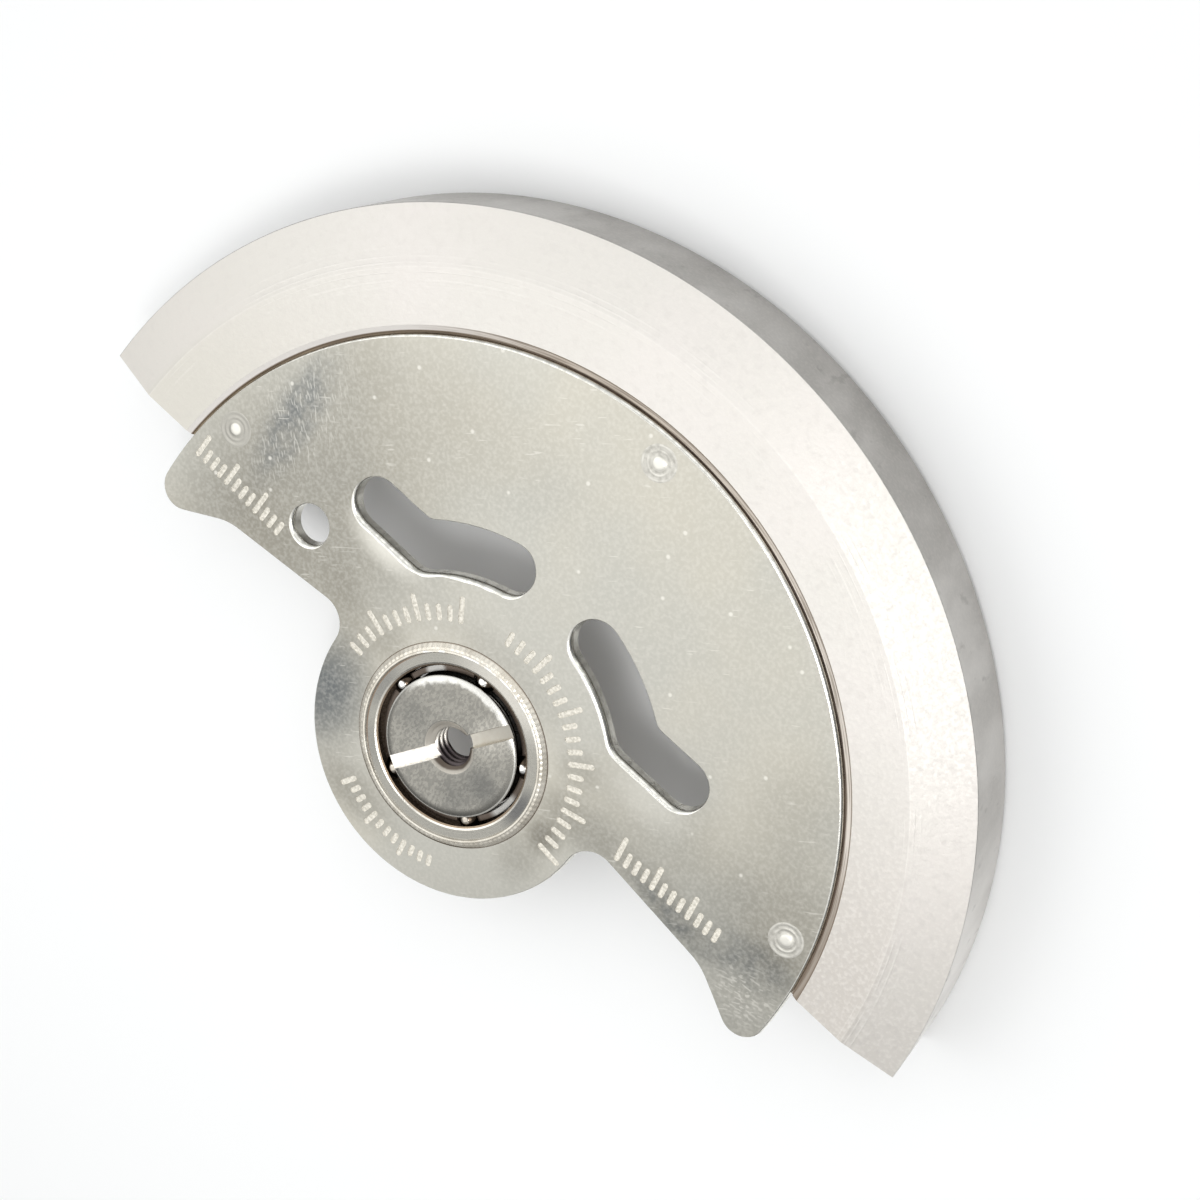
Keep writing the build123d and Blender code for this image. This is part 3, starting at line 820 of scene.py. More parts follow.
def rim_finish():
    """Turned top face: pale and matt, fine grain, turning lines by the bevel, painted ridge
    highlight, shaded ends.
    """
    made, place = metal("turned_tungsten", RIM_FACE, 0.5, 0.55)
    radius, across, ahead = out_from_axis(place), axis(place, "X"), axis(place, "Y")
    fine, coarse = grain(place, 10.0, 5.0), grain(place, 4.5, 4.0)
    ridge = RIM_RADIUS - RIM_BEVEL_WIDTH
    away = maths("ABSOLUTE", maths("SUBTRACT", radius, ridge))
    broken = between(grain(place, 0.5, 3.0), 0.40, 0.60)
    lines = times(times(between(turning(radius, RIM_LINES), 0.55, 0.70), broken),
                  between(away, *RIM_LINES_REACH, 1.0, 0.12))
    # The ends are darkened as painted shade, the right end more than the left.
    ends = times(between(ahead, *RIM_SHADED_ENDS, 1.0, 0.0),
                 between(radius, ridge - 0.1, ridge + 0.2, 1.0, 0.4))
    end_tone = mixed(between(across, -9.0, 9.0), RIM_LEFT_END_SHADE, RIM_END_SHADE)
    cloud = between(grain(place, 0.25), *CLOUDS)
    colour = mixed(ends, mixed(cloud, RIM_FACE, RIM_FACE_COOL), end_tone)
    # Turning lines, and a painted highlight along the ridge, are drawn pale.
    marked = larger(times(lines, 0.4), between(away, 0.0, RIM_CREST_HIGHLIGHT, 0.25, 0.0))
    colour = mixed(times(marked, 0.7), colour, RIM_FACE_PALE)
    coarser = between(across, *RIM_SIDES, 0.12, 0.36)
    colour = mixed(times(between(fine, 0.42, 0.7), coarser), colour, RIM_FACE_PALE)
    colour = mixed(times(between(coarse, 0.50, 0.72), coarser), colour, RIM_GRAIN_DARK)
    height = plus(fine, times(plus(coarse, lines), 0.6))
    return dressed(made, colour, between(fine, *SPREAD, 0.44, 0.58), height, RIM_RELIEF)


def wall_finish():
    """Outer wall and underside: duller and darker, lit in two bands along X as painted light, with
    drag marks.
    """
    made, place = metal("dull_tungsten", RIM_WALL, 0.42, 0.9)
    across = axis(place, "X")
    drag = grain(place, 0.7, 3.0, (1, 1, 0.5))
    rubbed = between(grain(place, 3.0, 4.0, (1, 1, 0.4)), 0.60, 0.72)
    fine = grain(place, 12.0, 3.0)
    # Two bands along X are painted lighter as light on the wall; the drag noise adds to them.
    lighter_share = plus(*(between(across, low, high, 0.0, share) for low, high, share in WALL_LIGHT_BANDS))
    lighter_share = plus(lighter_share, between(drag, *CLOUDS, -0.08, 0.12))
    colour = mixed(lighter_share, RIM_WALL_SHADE, RIM_WALL)
    colour = mixed(times(rubbed, 0.35), colour, RIM_WALL_SPOT)
    colour = mixed(between(fine, 0.4, 0.7, 0.0, 0.15), colour, RIM_FACE_COOL)
    return dressed(made, colour, between(drag, *SPREAD, 0.5, 0.4), fine, FINE_RELIEF)


def chamfer_finish():
    """Inner chamfer of the rim: painted reflection, pale and brown round the arc, with streaks and
    a brown brink line.
    """
    made, place = metal("chamfer_reflection", RIM_FACE, 0.4, 0.25)
    share, radius = half_turn(place), out_from_axis(place)
    brink = PLATE_RADIUS + RIM_GAP + RIM_INNER_CHAMFER
    away = maths("ABSOLUTE", maths("SUBTRACT", radius, brink - BRINK_INSET))
    drawn = larger(between(streaks(place, 0.6, 22.0), 0.46, 0.62, 0.0, 0.6),
                   between(away, *BRINK_LINE, 0.8, 0.0))
    foot = times(between(radius, *(brink - inset for inset in FOOT_LINE), 1.0, 0.0),
                 between(share, *FOOT_FROM))
    drawn = larger(times(drawn, between(share, *STREAKS_TO, 1.0, 0.0)), foot)
    tone = mixed(drawn, ramped(share, CHAMFER_REFLECTION_TONES), CHAMFER_STREAK)
    return dressed(made, tone, None, grain(place, 9.0, 3.0), FINE_RELIEF)


def gap_shade_finish():
    """Dark sheet between plate and rim: painted shade of the gap in browns of old oil, paler
    towards the ends.
    """
    made, place = metal("oil_and_gap_shade", GAP_SHADE_TONES[0][1], 0.5, 0.0)
    drag = between(streaks(place, 0.8, 8.0), 0.40, 0.65, 0.0, 0.5)
    tone = mixed(drag, ramped(half_turn(place), GAP_SHADE_TONES), CHAMFER_STREAK)
    return dressed(made, tone, None, grain(place, 6.0, 3.0), FINE_RELIEF)


def rim_section():
    """Section of the rim; finishes are 0 turned, 1 dull, 2 the dark sheet of oil and painted shade,
    3 the chamfer.
    """
    inner = PLATE_RADIUS + RIM_GAP
    brim = PLATE_RADIUS + SHADE_SHEET_CLEARANCE
    ledge_bottom = PLATE_BOTTOM - LEDGE_THICKNESS
    wall_foot = PLATE_RADIUS - RIM_LAP
    return rounded([            # radius, height, rounding, finish
        (inner, RIM_TOP - RIM_CHAMFER_DROP, 0.02, 3),
        (inner + RIM_INNER_CHAMFER, RIM_TOP, 0.02, 0),
        (RIM_RADIUS - RIM_BEVEL_WIDTH, RIM_TOP, 0.10, 0),
        (RIM_RADIUS, RIM_TOP - RIM_BEVEL_DROP, 0.025, 1),
        (RIM_RADIUS, RIM_BOTTOM + RIM_BOTTOM_CHAMFER, 0.03, 1),
        (RIM_RADIUS - RIM_BOTTOM_CHAMFER, RIM_BOTTOM, 0.03, 1),
        (wall_foot, RIM_BOTTOM, 0.05, 1),
        (wall_foot, ledge_bottom, 0.05, 1),
        (PLATE_RADIUS - LEDGE_LAP, ledge_bottom, 0.05, 1),
        (PLATE_RADIUS - LEDGE_LAP, PLATE_BOTTOM, 0.03, 1),
        (brim, PLATE_BOTTOM, 0, 2),
        (brim, RIM_TOP - SHADE_SHEET_DROP, 0, 2),
        (inner, RIM_TOP - SHADE_SHEET_DROP, 0, 2),
    ])


section = rim_section()
rows = []
for radius, z, finish in section:
    low = math.asin(RIM_END / radius)
    turns = [low + (math.pi - 2 * low) * k / RIM_COLUMNS for k in range(RIM_COLUMNS + 1)]
    rows.append([(radius * math.cos(t), radius * math.sin(t), z) for t in turns])
rim_mesh, grid = skin(rows, [finish for radius, z, finish in section], False)
# The sheet of oil and painted shade in the gap is given a gently wavy height.
for vertex in rim_mesh.verts:
    if math.isclose(vertex.co.z, RIM_TOP - SHADE_SHEET_DROP, abs_tol=NEAR):
        vertex.co.z += SHADE_SHEET_WAVE * noise.noise(vertex.co * SHADE_SHEET_WAVE_SCALE)
caps = [rim_mesh.faces.new([row[column] for row in grid]) for column in (0, -1)]
for cap in caps:
    cap.material_index = 1
bmesh.ops.triangulate(rim_mesh, faces=caps)
rim = piece("heavy_rim", rim_mesh)
for finish in (rim_finish(), wall_finish(), gap_shade_finish(), chamfer_finish()):
    rim.data.materials.append(finish)
sawn = rim.modifiers.new("sawn_edges", "BEVEL")
sawn.limit_method = "ANGLE"
sawn.angle_limit = math.radians(END_BEVEL_FROM)
sawn.width = END_BEVEL
sawn.segments = 2
finished(rim)
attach(rim, "rotor")
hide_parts("oscillating_weight")

# Rivets: steel pins with a sunk head, spun down so that a nub stands in a ring; nub and ring crests
# carry painted highlights.
# They go through the plate and the ledge, and their tails are spread underneath.
RIVET_TAIL_RADIUS = 0.30
RIVET_TAIL_DEPTH = 0.12
RIVET_COLUMNS = 48
RIVET_STEEL = (198, 195, 186)
RIVET_SHADE = (176, 173, 164)
RIVET_NUB_HIGHLIGHT = (234, 231, 221)
RIVET_DULL = (174, 171, 162)
CREST_RISE = 0.004
NUB_RISE = (0.007, 0.020)
RIVET_HEAD = (                  # radius, height above the plate
    (0.000, 0.022), (0.060, 0.023), (0.100, 0.022), (0.130, 0.018), (0.155, 0.012),
    (0.180, 0.006), (0.205, 0.001), (0.230, -0.002), (0.250, -0.001), (0.272, 0.003),
    (0.290, 0.005), (0.308, 0.003), (0.332, -0.002), (0.358, -0.003), (0.380, -0.001),
    (0.400, 0.002), (0.418, 0.003), (0.436, 0.002), (0.452, 0.0005), (0.466, -0.002),
    (0.480, -0.006), (0.460, -0.020),
)


def lathe(section, columns, share=1.0, warp=None):
    """Turned piece from its section; share is the part of a turn, and warp moves each point."""
    closed = share == 1.0
    count = columns if closed else columns + 1
    angles = [2 * math.pi * share * k / columns for k in range(count)]
    rows = []
    for radius, z, finish in section:
        places = [warp(radius, z, a) if warp else (radius, z) for a in angles]
        rows.append([(r * math.cos(a), r * math.sin(a), h) for (r, h), a in zip(places, angles)])
    return skin(rows, [finish for radius, z, finish in section], closed)[0]


def rivet_finish():
    """Spun steel with a soft shine: painted highlights on the nub and ring crests, the left head a
    little duller.
    """
    made, place = metal("rivet_steel", RIVET_STEEL, 0.36, 0.6)
    fine, height = grain(place, 9.0, 3.0), axis(place, "Z")
    # Painted highlights on the ring crests and on the nub.
    crest_highlight = times(between(height, PLATE_TOP, PLATE_TOP + CREST_RISE),
                  between(grain(place, 2.2, 1.0), 0.38, 0.62, 0.0, 0.65))
    head = mixed(between(fine, *GRAINS), RIVET_STEEL, RIVET_SHADE)
    head = mixed(crest_highlight, head, RIVET_NUB_HIGHLIGHT)
    left = polar(RIVET_CIRCLE, RIVET_FIRST + 2 * RIVET_STEP)
    head = mixed(patch(place, *left, 2.0, 2.0), head, RIVET_DULL)
    nub = between(height, *(PLATE_TOP + rise for rise in NUB_RISE))
    tone = mixed(nub, head, RIVET_NUB_HIGHLIGHT)
    return dressed(made, tone, between(fine, *SPREAD, 0.30, 0.42))


def rivet_section():
    """Section of a rivet about its own axis: nub, moat, ridge, sunk head, shank and tail."""
    tail = PLATE_BOTTOM - LEDGE_THICKNESS
    return [(radius, PLATE_TOP + rise, 0) for radius, rise in RIVET_HEAD] + rounded([
        (RIVET_SHANK_RADIUS, PLATE_TOP - RIVET_HEAD_DEPTH, 0, 0),
        (RIVET_SHANK_RADIUS, tail + RIVET_TAIL_DEPTH, 0, 0),
        (RIVET_TAIL_RADIUS, tail, 0.02, 0),
        (0.0, tail, 0, 0),
    ])


rivet = piece("weight_rivets", lathe(rivet_section(), RIVET_COLUMNS))
rivet.data.transform(Matrix.Translation((RIVET_CIRCLE, 0, 0)))
copy_round(rivet, rivet_finish(), copies=RIVET_COUNT, first_angle=RIVET_FIRST,
           step_angle=RIVET_STEP)
finished(rivet)
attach(rivet, "rotor")
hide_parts("weight_rivet_left", "weight_rivet_middle", "weight_rivet_right")

# Outer ring of the bearing: ground steel with a V groove for the balls.
# Its collar is rolled over the plate by a toothed punch, which leaves a ring of small pits.
BALL_CIRCLE = 1.975
GROOVE_OFFSET = 0.355
LIP_OFFSET = 0.125
GROOVE_FOOT_RISE = 0.1216
LIP_RISE = 0.3516
RING_PROUD = 0.07
GEAR_THICKNESS = 0.42
FLANGE_WIDTH = 0.25
PIT_COUNT = 112
PIT_COLUMNS = 4
PIT_RADIUS = 2.580
PIT_REACH = 0.034
PIT_DEPTH = 0.022
PIT_LEAST_RISE = 0.02
RIDGE_FOOT = 0.03
RIDGE_WEAR = 0.010
RIDGE_WEAR_SCALE = 3.5
RING_LIP_DROP = 0.034
RING_EDGE, RING_BROW = 2.150, 2.190
COLLAR_ROOT, COLLAR_EDGE = 2.425, 2.672
RIDGE_RISE = (0.042, 0.052)
GROOVE_SHADE_DROP = (0.07, 0.04)
COLLAR_TURNS = (                # radius, height above the ring's face, rounding
    (RING_EDGE, -0.018, 0.010), (RING_BROW, 0, 0.010), (COLLAR_ROOT, 0, 0.010),
    (2.450, 0.058, 0.02), (2.494, 0.058, 0.02), (2.520, 0.036, 0.01), (2.575, 0.028, 0.03),
)
COLLAR_FOOT = (                 # radius, height above the plate, rounding
    (COLLAR_EDGE, 0.014, 0.03), (2.699, -0.004, 0), (2.680, -0.040, 0), (BORE_RADIUS, -0.040, 0),
)
RING_STEEL = (165, 162, 153)
RING_SHADE = (149, 147, 140)
RING_SHEEN = (204, 200, 191)
RING_LIP_HIGHLIGHT = (236, 231, 220)
RING_LIP_SHADE = (140, 124, 106)
RING_LOBE_SHADE = (98, 98, 98)
RING_RECESS_SHADE = (130, 113, 97)
COLLAR_PALE = (232, 226, 213)
COLLAR_BROWN = (190, 181, 164)
COLLAR_HIGHLIGHT = (255, 253, 247)
COLLAR_SHADE_LINE = (98, 88, 72)
# Painted shade on the ring's face at both ends along X and at the lower left, and a painted sheen
# along +Y.
RING_TONES = (                  # tone, strength, x, y, reach along x, reach along y
    (RING_LOBE_SHADE, 0.85, 2.3, 0.05, 0.5, 0.9), (RING_LOBE_SHADE, 0.42, -2.3, 0.0, 0.5, 1.0),
    (RING_LOBE_SHADE, 0.25, -1.7, -1.6, 0.9, 0.9), (RING_SHEEN, 0.80, 0.5, 2.3, 2.4, 1.0),
)

ring_bottom = box_mm("bearing_outer_ring")[0].z
joints = {joint["child"]: joint for joint in frame["joints"]}
BALL_PLANE = joints["ball_1"]["pos_m"][2] / MM
RING_TOP = PLATE_TOP + RING_PROUD
GEAR_BOTTOM = PLATE_BOTTOM - GEAR_THICKNESS


def ring_section():
    """Section of the ring from the foot of its bore, up the groove and over the collar."""
    lip = BALL_CIRCLE + LIP_OFFSET
    groove = BALL_CIRCLE + GROOVE_OFFSET
    flange = BORE_RADIUS + FLANGE_WIDTH
    return rounded([            # radius, height, rounding, finish
        (lip, ring_bottom, 0.02, 0),
        (lip, BALL_PLANE - LIP_RISE, 0.01, 0),
        (groove, BALL_PLANE - GROOVE_FOOT_RISE, 0.02, 0),
        (groove, BALL_PLANE + GROOVE_FOOT_RISE, 0.02, 0),
        (lip, BALL_PLANE + LIP_RISE, 0.01, 0),
        (lip, RING_TOP - RING_LIP_DROP, 0.008, 0),
        *((radius, RING_TOP + rise, rounding, 0) for radius, rise, rounding in COLLAR_TURNS),
        *((radius, PLATE_TOP + rise, rounding, 0) for radius, rise, rounding in COLLAR_FOOT),
        (BORE_RADIUS, GEAR_BOTTOM, 0, 0),
        (flange, GEAR_BOTTOM, 0, 0),
        (flange, ring_bottom, 0.02, 0),
    ])


def pitted(radius, z, angle):
    """Sinks the middle of each wedge into a pit in the collar's groove."""
    if z < PLATE_TOP + PIT_LEAST_RISE:
        return radius, z
    across = (angle - math.pi / PIT_COUNT) * PIT_RADIUS
    away = math.hypot(across, radius - PIT_RADIUS) / PIT_REACH
    return radius, z - PIT_DEPTH * math.exp(-away**2)


def facing(place, angle, low, high):
    """Share of the side of a turned face that lies towards an angle."""
    return between(vectors("DOT_PRODUCT", place, (*polar(1, angle), 0)), low, high)


def ring_finish():
    """Ground steel, cream on the rolled collar, with painted shade, shadow, highlights and sheen.
    """
    made, place = metal("ground_ring", RING_STEEL, 0.24)
    radius, height = out_from_axis(place), axis(place, "Z")
    fine, lines = grain(place, 16.0, 3.0), turning(radius, 40.0)
    blotch = between(grain(place, 1.6, 3.0), 0.42, 0.68, 0.0, 0.5)
    # Painted shade along the collar's outer edge on the far side.
    far_shade = times(facing(place, -88.0, 1.5, 2.3),
                  between(radius, COLLAR_EDGE - 0.047, COLLAR_EDGE - 0.017))
    cream = mixed(far_shade, mixed(blotch, COLLAR_PALE, COLLAR_BROWN), COLLAR_SHADE_LINE)
    # Painted highlight along the collar's ridge on the near side.
    ridge = times(between(height, *(RING_TOP + rise for rise in RIDGE_RISE)),
                  between(grain(place, 4.0, 1.0), 0.40, 0.50))
    cream = mixed(times(ridge, facing(place, 100.0, 1.2, 2.2)), cream, COLLAR_HIGHLIGHT)
    face = mixed(lines, RING_STEEL, RING_SHADE)
    # Lobes of painted shade and painted sheen.
    for tone, strength, *spot in RING_TONES:
        face = tinted(face, tone, strength, place, *spot)
    # A painted highlight along the brow of the lip, and painted shade where the lip turns down into
    # the gap.
    face = mixed(between(radius, RING_BROW - 0.005, RING_BROW + 0.005, 1.0, 0.0), face, RING_LIP_HIGHLIGHT)
    face = mixed(between(radius, RING_EDGE - 0.008, RING_EDGE + 0.004, 1.0, 0.0), face,
                 RING_LIP_SHADE)
    # Painted shadow where the collar's root meets the face, on one side.
    root = times(between(radius, COLLAR_ROOT - 0.040, COLLAR_ROOT - 0.025),
                 facing(place, 188.0, 1.5, 2.2))
    face = mixed(root, face, RING_RECESS_SHADE)
    collar = between(radius, COLLAR_ROOT - 0.010, COLLAR_ROOT + 0.010)
    # The groove below the face is darkened: the brown of oil, and painted shade.
    deep = between(height, *(RING_TOP - drop for drop in GROOVE_SHADE_DROP), 1.0, 0.0)
    colour = mixed(deep, mixed(collar, face, cream), RING_RECESS_SHADE)
    dull = larger(times(deep, 0.7), times(collar, 0.48))
    return dressed(made, colour, between(fine, *SPREAD, 0.20, 0.34),
                   plus(times(fine, 0.5), lines), 0.0012, maths("SUBTRACT", 1.0, dull))


ring = piece("bearing_ring", lathe(ring_section(), PIT_COLUMNS, 1 / PIT_COUNT, pitted))
copy_round(ring, ring_finish(), copies=PIT_COUNT, step_angle=360 / PIT_COUNT)
settled(ring)
for vertex in ring.data.vertices:
    if vertex.co.z > RING_TOP + RIDGE_FOOT:
        vertex.co.z -= RIDGE_WEAR * max(0.0, noise.noise(vertex.co * RIDGE_WEAR_SCALE))
finished(ring)
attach(ring, "rotor")
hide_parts("bearing_outer_ring")

# Toothed wheel: cut brass, pressed on the ring between the plate and the ring's flange.
# It drives the first winding wheel, and shows only from the side and from below.
GEAR_TEETH = 54
GEAR_PITCH_RADIUS = 3.105
TOOTH_SHARES = ((-0.5, -1.25), (-0.34, -1.25), (-0.25, 0.0), (-0.16, 0.7), (-0.07, 1.0))
TOOTH_CHAMFER = 0.03
GEAR_GOLD = (196, 184, 150)
GEAR_SHADE = (150, 138, 106)


def tooth_wedge():
    """One tooth of the wheel with its part of the web, open on both sides for welding."""
    module = 2 * GEAR_PITCH_RADIUS / GEAR_TEETH
    pitch = 360 / GEAR_TEETH
    shares = TOOTH_SHARES + tuple((-across, rise) for across, rise in TOOTH_SHARES[::-1])
    flank = [(GEAR_PITCH_RADIUS + rise * module, across * pitch) for across, rise in shares]
    bottom, top = GEAR_BOTTOM, PLATE_BOTTOM
    levels = ((0, top, True), (TOOTH_CHAMFER, top, False), (0, top - TOOTH_CHAMFER, False),
              (0, bottom + TOOTH_CHAMFER, False), (TOOTH_CHAMFER, bottom, False), (0, bottom, True))
    rows = [[(*polar(BORE_RADIUS if bore else radius - inset, angle), z) for radius, angle in flank]
            for inset, z, bore in levels]
    return skin(rows, [0] * len(rows), False)[0]


gear = piece("toothed_wheel", tooth_wedge())
for polygon in gear.data.polygons:
    polygon.use_smooth = False
brass = plain_metal("cut_brass", (GEAR_GOLD, GEAR_SHADE), (0.24, 0.42), 7.0)
copy_round(gear, brass, copies=GEAR_TEETH, step_angle=360 / GEAR_TEETH)
finished(gear)
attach(gear, "rotor")
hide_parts("rotor_gear")

# Cage: a thin steel crown, turned and drilled, that keeps the five balls apart.
# It floats in the gap of the bearing, dark with oil and painted shade, with painted highlights on
# two spots of its finger tops.
BALL_COUNT = 5
POCKET_RADIUS = 0.345
CAGE_WALL = 0.17
CAGE_CHAMFER = 0.02
POCKET_COLUMNS = 24
FINGER_COLUMNS = 16
CAGE_OIL_AND_SHADE = (96, 84, 74)
CAGE_HIGHLIGHT = (188, 186, 181)
HIGHLIGHT_DROP = (0.03, 0.01)
CAGE_HIGHLIGHT_SPOTS = ((-1.50, 1.24, 0.35, 0.35), (1.95, -0.36, 0.55, 0.55))

cage_low, cage_high = box_mm("ball_cage")
first_ball = Vector(joints["ball_1"]["pos_m"]) / MM
BALL_START = math.degrees(math.atan2(first_ball.y, first_ball.x))


def cage_wedge():
    """A fifth of the cage: half a finger, the open pocket under one ball, and half a finger."""
    rise = cage_high.z - BALL_PLANE
    brink = math.degrees(math.asin(rise / POCKET_RADIUS))
    half_pitch = math.pi * BALL_CIRCLE / BALL_COUNT
    half_mouth = math.sqrt(POCKET_RADIUS**2 - rise**2)
    upper = [(-half_pitch + (half_pitch - half_mouth) * k / FINGER_COLUMNS, rise)
             for k in range(FINGER_COLUMNS)]
    for k in range(POCKET_COLUMNS + 1):
        turn = math.radians(180 - brink + (180 + 2 * brink) * k / POCKET_COLUMNS)
        upper.append((POCKET_RADIUS * math.cos(turn), POCKET_RADIUS * math.sin(turn)))
    upper += [(-along, height) for along, height in upper[FINGER_COLUMNS - 1::-1]]
    lower = [-half_pitch + 2 * half_pitch * k / (len(upper) - 1) for k in range(len(upper))]
    inner, outer = BALL_CIRCLE - CAGE_WALL / 2, BALL_CIRCLE + CAGE_WALL / 2
    rows = []
    for radius, drop, top in (
            (outer - CAGE_CHAMFER, 0, True), (outer, CAGE_CHAMFER, True), (outer, 0, False),
            (inner, 0, False), (inner, CAGE_CHAMFER, True), (inner + CAGE_CHAMFER, 0, True)):
        row = []
        for (along, height), foot in zip(upper, lower):
            angle = BALL_START + math.degrees((along if top else foot) / BALL_CIRCLE)
            z = BALL_PLANE + height - drop if top else cage_low.z
            row.append((*polar(radius, angle), z))
        rows.append(row)
    return skin(rows, [0] * len(rows), False)[0]


def cage_finish():
    """Dark brown steel, from oil and painted shade of the gap, with painted highlights on parts of
    the top.
    """
    made, place = metal("oiled_and_shaded_cage", CAGE_OIL_AND_SHADE, 0.35, 0.5)
    # Painted highlights on the top of the fingers at two spots.
    top = between(axis(place, "Z"), *(cage_high.z - drop for drop in HIGHLIGHT_DROP))
    brightened = larger(*(patch(place, *spot) for spot in CAGE_HIGHLIGHT_SPOTS))
    share = times(top, maths("MINIMUM", times(brightened, 2.0), 1.0))
    tone = mixed(share, CAGE_OIL_AND_SHADE, CAGE_HIGHLIGHT)
    return dressed(made, tone, None, grain(place, 10.0, 3.0), FINE_RELIEF)


cage = piece("bearing_cage", cage_wedge())
copy_round(cage, cage_finish(), copies=BALL_COUNT, step_angle=360 / BALL_COUNT)
finished(cage)
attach(cage, "cage")
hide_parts("ball_cage")

# Balls: hardened, lapped steel, with a painted glint on top and painted shade below it.
# Each rolls between the ring and the two cones of the core, and turns in its own pocket.
BALL_RADIUS = 0.325
BALL_CUTS = 14
BALL_GLINT_CAP = 0.95
BALL_SHADE_SOFTNESS = 0.016
BALL_SHADE_WAVE = 0.02
BALL_STEEL = (250, 248, 243)
BALL_SHADE = (74, 64, 54)
BALL_DIM_GLINT = (192, 184, 172)


def ball_finish():
    """Polished steel: a painted glint on top, dimmer on the balls to one side, and painted shade
    below it.
    """
    made, place = metal("lapped_ball", BALL_STEEL, 0.08)
    rise = maths("SUBTRACT", axis(place, "Z"), BALL_PLANE)
    ragged = maths("MULTIPLY_ADD", grain(place, 6.0), BALL_SHADE_WAVE, rise)
    # The top cap is a painted glint; below it the ball is darkened as painted shade.
    edge = BALL_GLINT_CAP * BALL_RADIUS
    shade_share = between(ragged, edge, edge + BALL_SHADE_SOFTNESS, 1.0, 0.0)
    bright = mixed(facing(place, -96.0, 0.4, 1.2), BALL_STEEL, BALL_DIM_GLINT)
    return dressed(made, mixed(shade_share, bright, BALL_SHADE), between(shade_share, 0.0, 1.0, 0.06, 0.18))


def ball_mesh(centre):
    """Ball drawn from a cube's six faces, so that it has no poles."""
    mesh = bmesh.new()
    bmesh.ops.create_cube(mesh, size=2)
    bmesh.ops.subdivide_edges(mesh, edges=mesh.edges, cuts=BALL_CUTS, use_grid_fill=True)
    for vertex in mesh.verts:
        vertex.co = centre + vertex.co.normalized() * BALL_RADIUS
    for face in mesh.faces:
        face.smooth = True
    return mesh


lapped = ball_finish()
for number in range(1, BALL_COUNT + 1):
    centre = Vector(joints[f"ball_{number}"]["pos_m"]) / MM
    ball = piece(f"steel_ball_{number}", ball_mesh(centre))
    ball.data.materials.append(lapped)
    settled(ball, MM)
    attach(ball, f"ball_{number}")
    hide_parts(f"bearing_ball_{number}")

# Core: turned steel that stays still, screwed to the movement through its threaded hole.
# Its face is lapped, its edge is rolled off, and a saw has cut the screwdriver slot.
INNER_LIP = 1.85
INNER_FOOT = 1.62
STEM_RADIUS = 1.25
COUNTERBORE_RADIUS = 0.95
THREAD_RADIUS = 0.47
THREAD_DEPTH = 0.75
THREAD_HEIGHT = 0.14
THREAD_PITCH = 0.20
THREAD_START = 170.0
THREAD_RUNOUT = 0.05
THREAD_ROWS = 60
THREAD_FADE = 0.04
MOUTH_ROWS = 16
MOUTH_DEPTH = 0.13
SHADE_WAVE, SHADE_SOFTNESS = 0.04, 0.035
MOUTH_LIP = (                   # out from the thread, drop, finish
    (0.73, 0, 0), (0.25, 0, 0), (0.22, 0.003, 1), (0.199, 0.012, 1), (0.175, 0.030, 1),
)
CROWN_START = 1.58
CROWN_INSET = 0.03
CROWN_SHEEN = (0.22, 0.32)
LIP_SHEEN = (0.06, 0.035)
CROWN_BROW = ((0.0, 0.034), (0.004, 0.022), (0.014, 0.009))     # inset, drop below the crown
CROWN_DROP = 0.040
CROWN_STEPS = 10
CROWN_POWER = 2.4
CORE_COLUMNS = 160
SAW_WIDTH = 0.36
SAW_RADIUS = 8.6
SAW_DEPTH = 0.28
SAW_TURN = 57.7
SAW_CHAMFER = 0.012
SAW_STEPS = 48
SAW_OVERRUN = 0.1
CORE_LIGHT = (152, 149, 141)
CORE_SHADE = (114, 113, 109)
CORE_SHEEN = (190, 186, 176)
CORE_LOBE_SHADE = (100, 100, 98)
CORE_EDGE_HIGHLIGHT = (240, 238, 231)
SAWN_REFLECTION = (252, 250, 244)
SAWN_BEIGE = (206, 201, 189)
MOUTH_PALE = (184, 178, 167)
MOUTH_SHADE = (86, 75, 64)
THREAD_PALE = (240, 234, 223)
THREAD_SHADE = (84, 76, 76)
FLANK_OIL_AND_SHADE = (118, 104, 90)
FLANK_SHADE = (80, 70, 60)
CORE_WING_PLACE = 1.25
CORE_WING_REACH = (0.8, 0.7)
# Lobes of painted sheen and painted shade round the face.
CORE_TONES = (                  # tone, strength, angle
    (CORE_SHEEN, 0.85, 56.0), (CORE_LOBE_SHADE, 0.65, -8.0), (CORE_LOBE_SHADE, 0.4, -48.0),
    (CORE_LOBE_SHADE, 0.35, 180.0),
)
# The left half of the slot's floor is painted white as a reflection of the light; the right half
# keeps a beige tone.
SAW_HALVES = (                  # side, name, tones
    (1, "saw_right", (SAWN_BEIGE, (206, 200, 188))),
    (-1, "saw_left", (SAWN_REFLECTION, (240, 235, 226))),
)

core_low, core_high = box_mm("bearing_core")
CORE_TOP = core_high.z


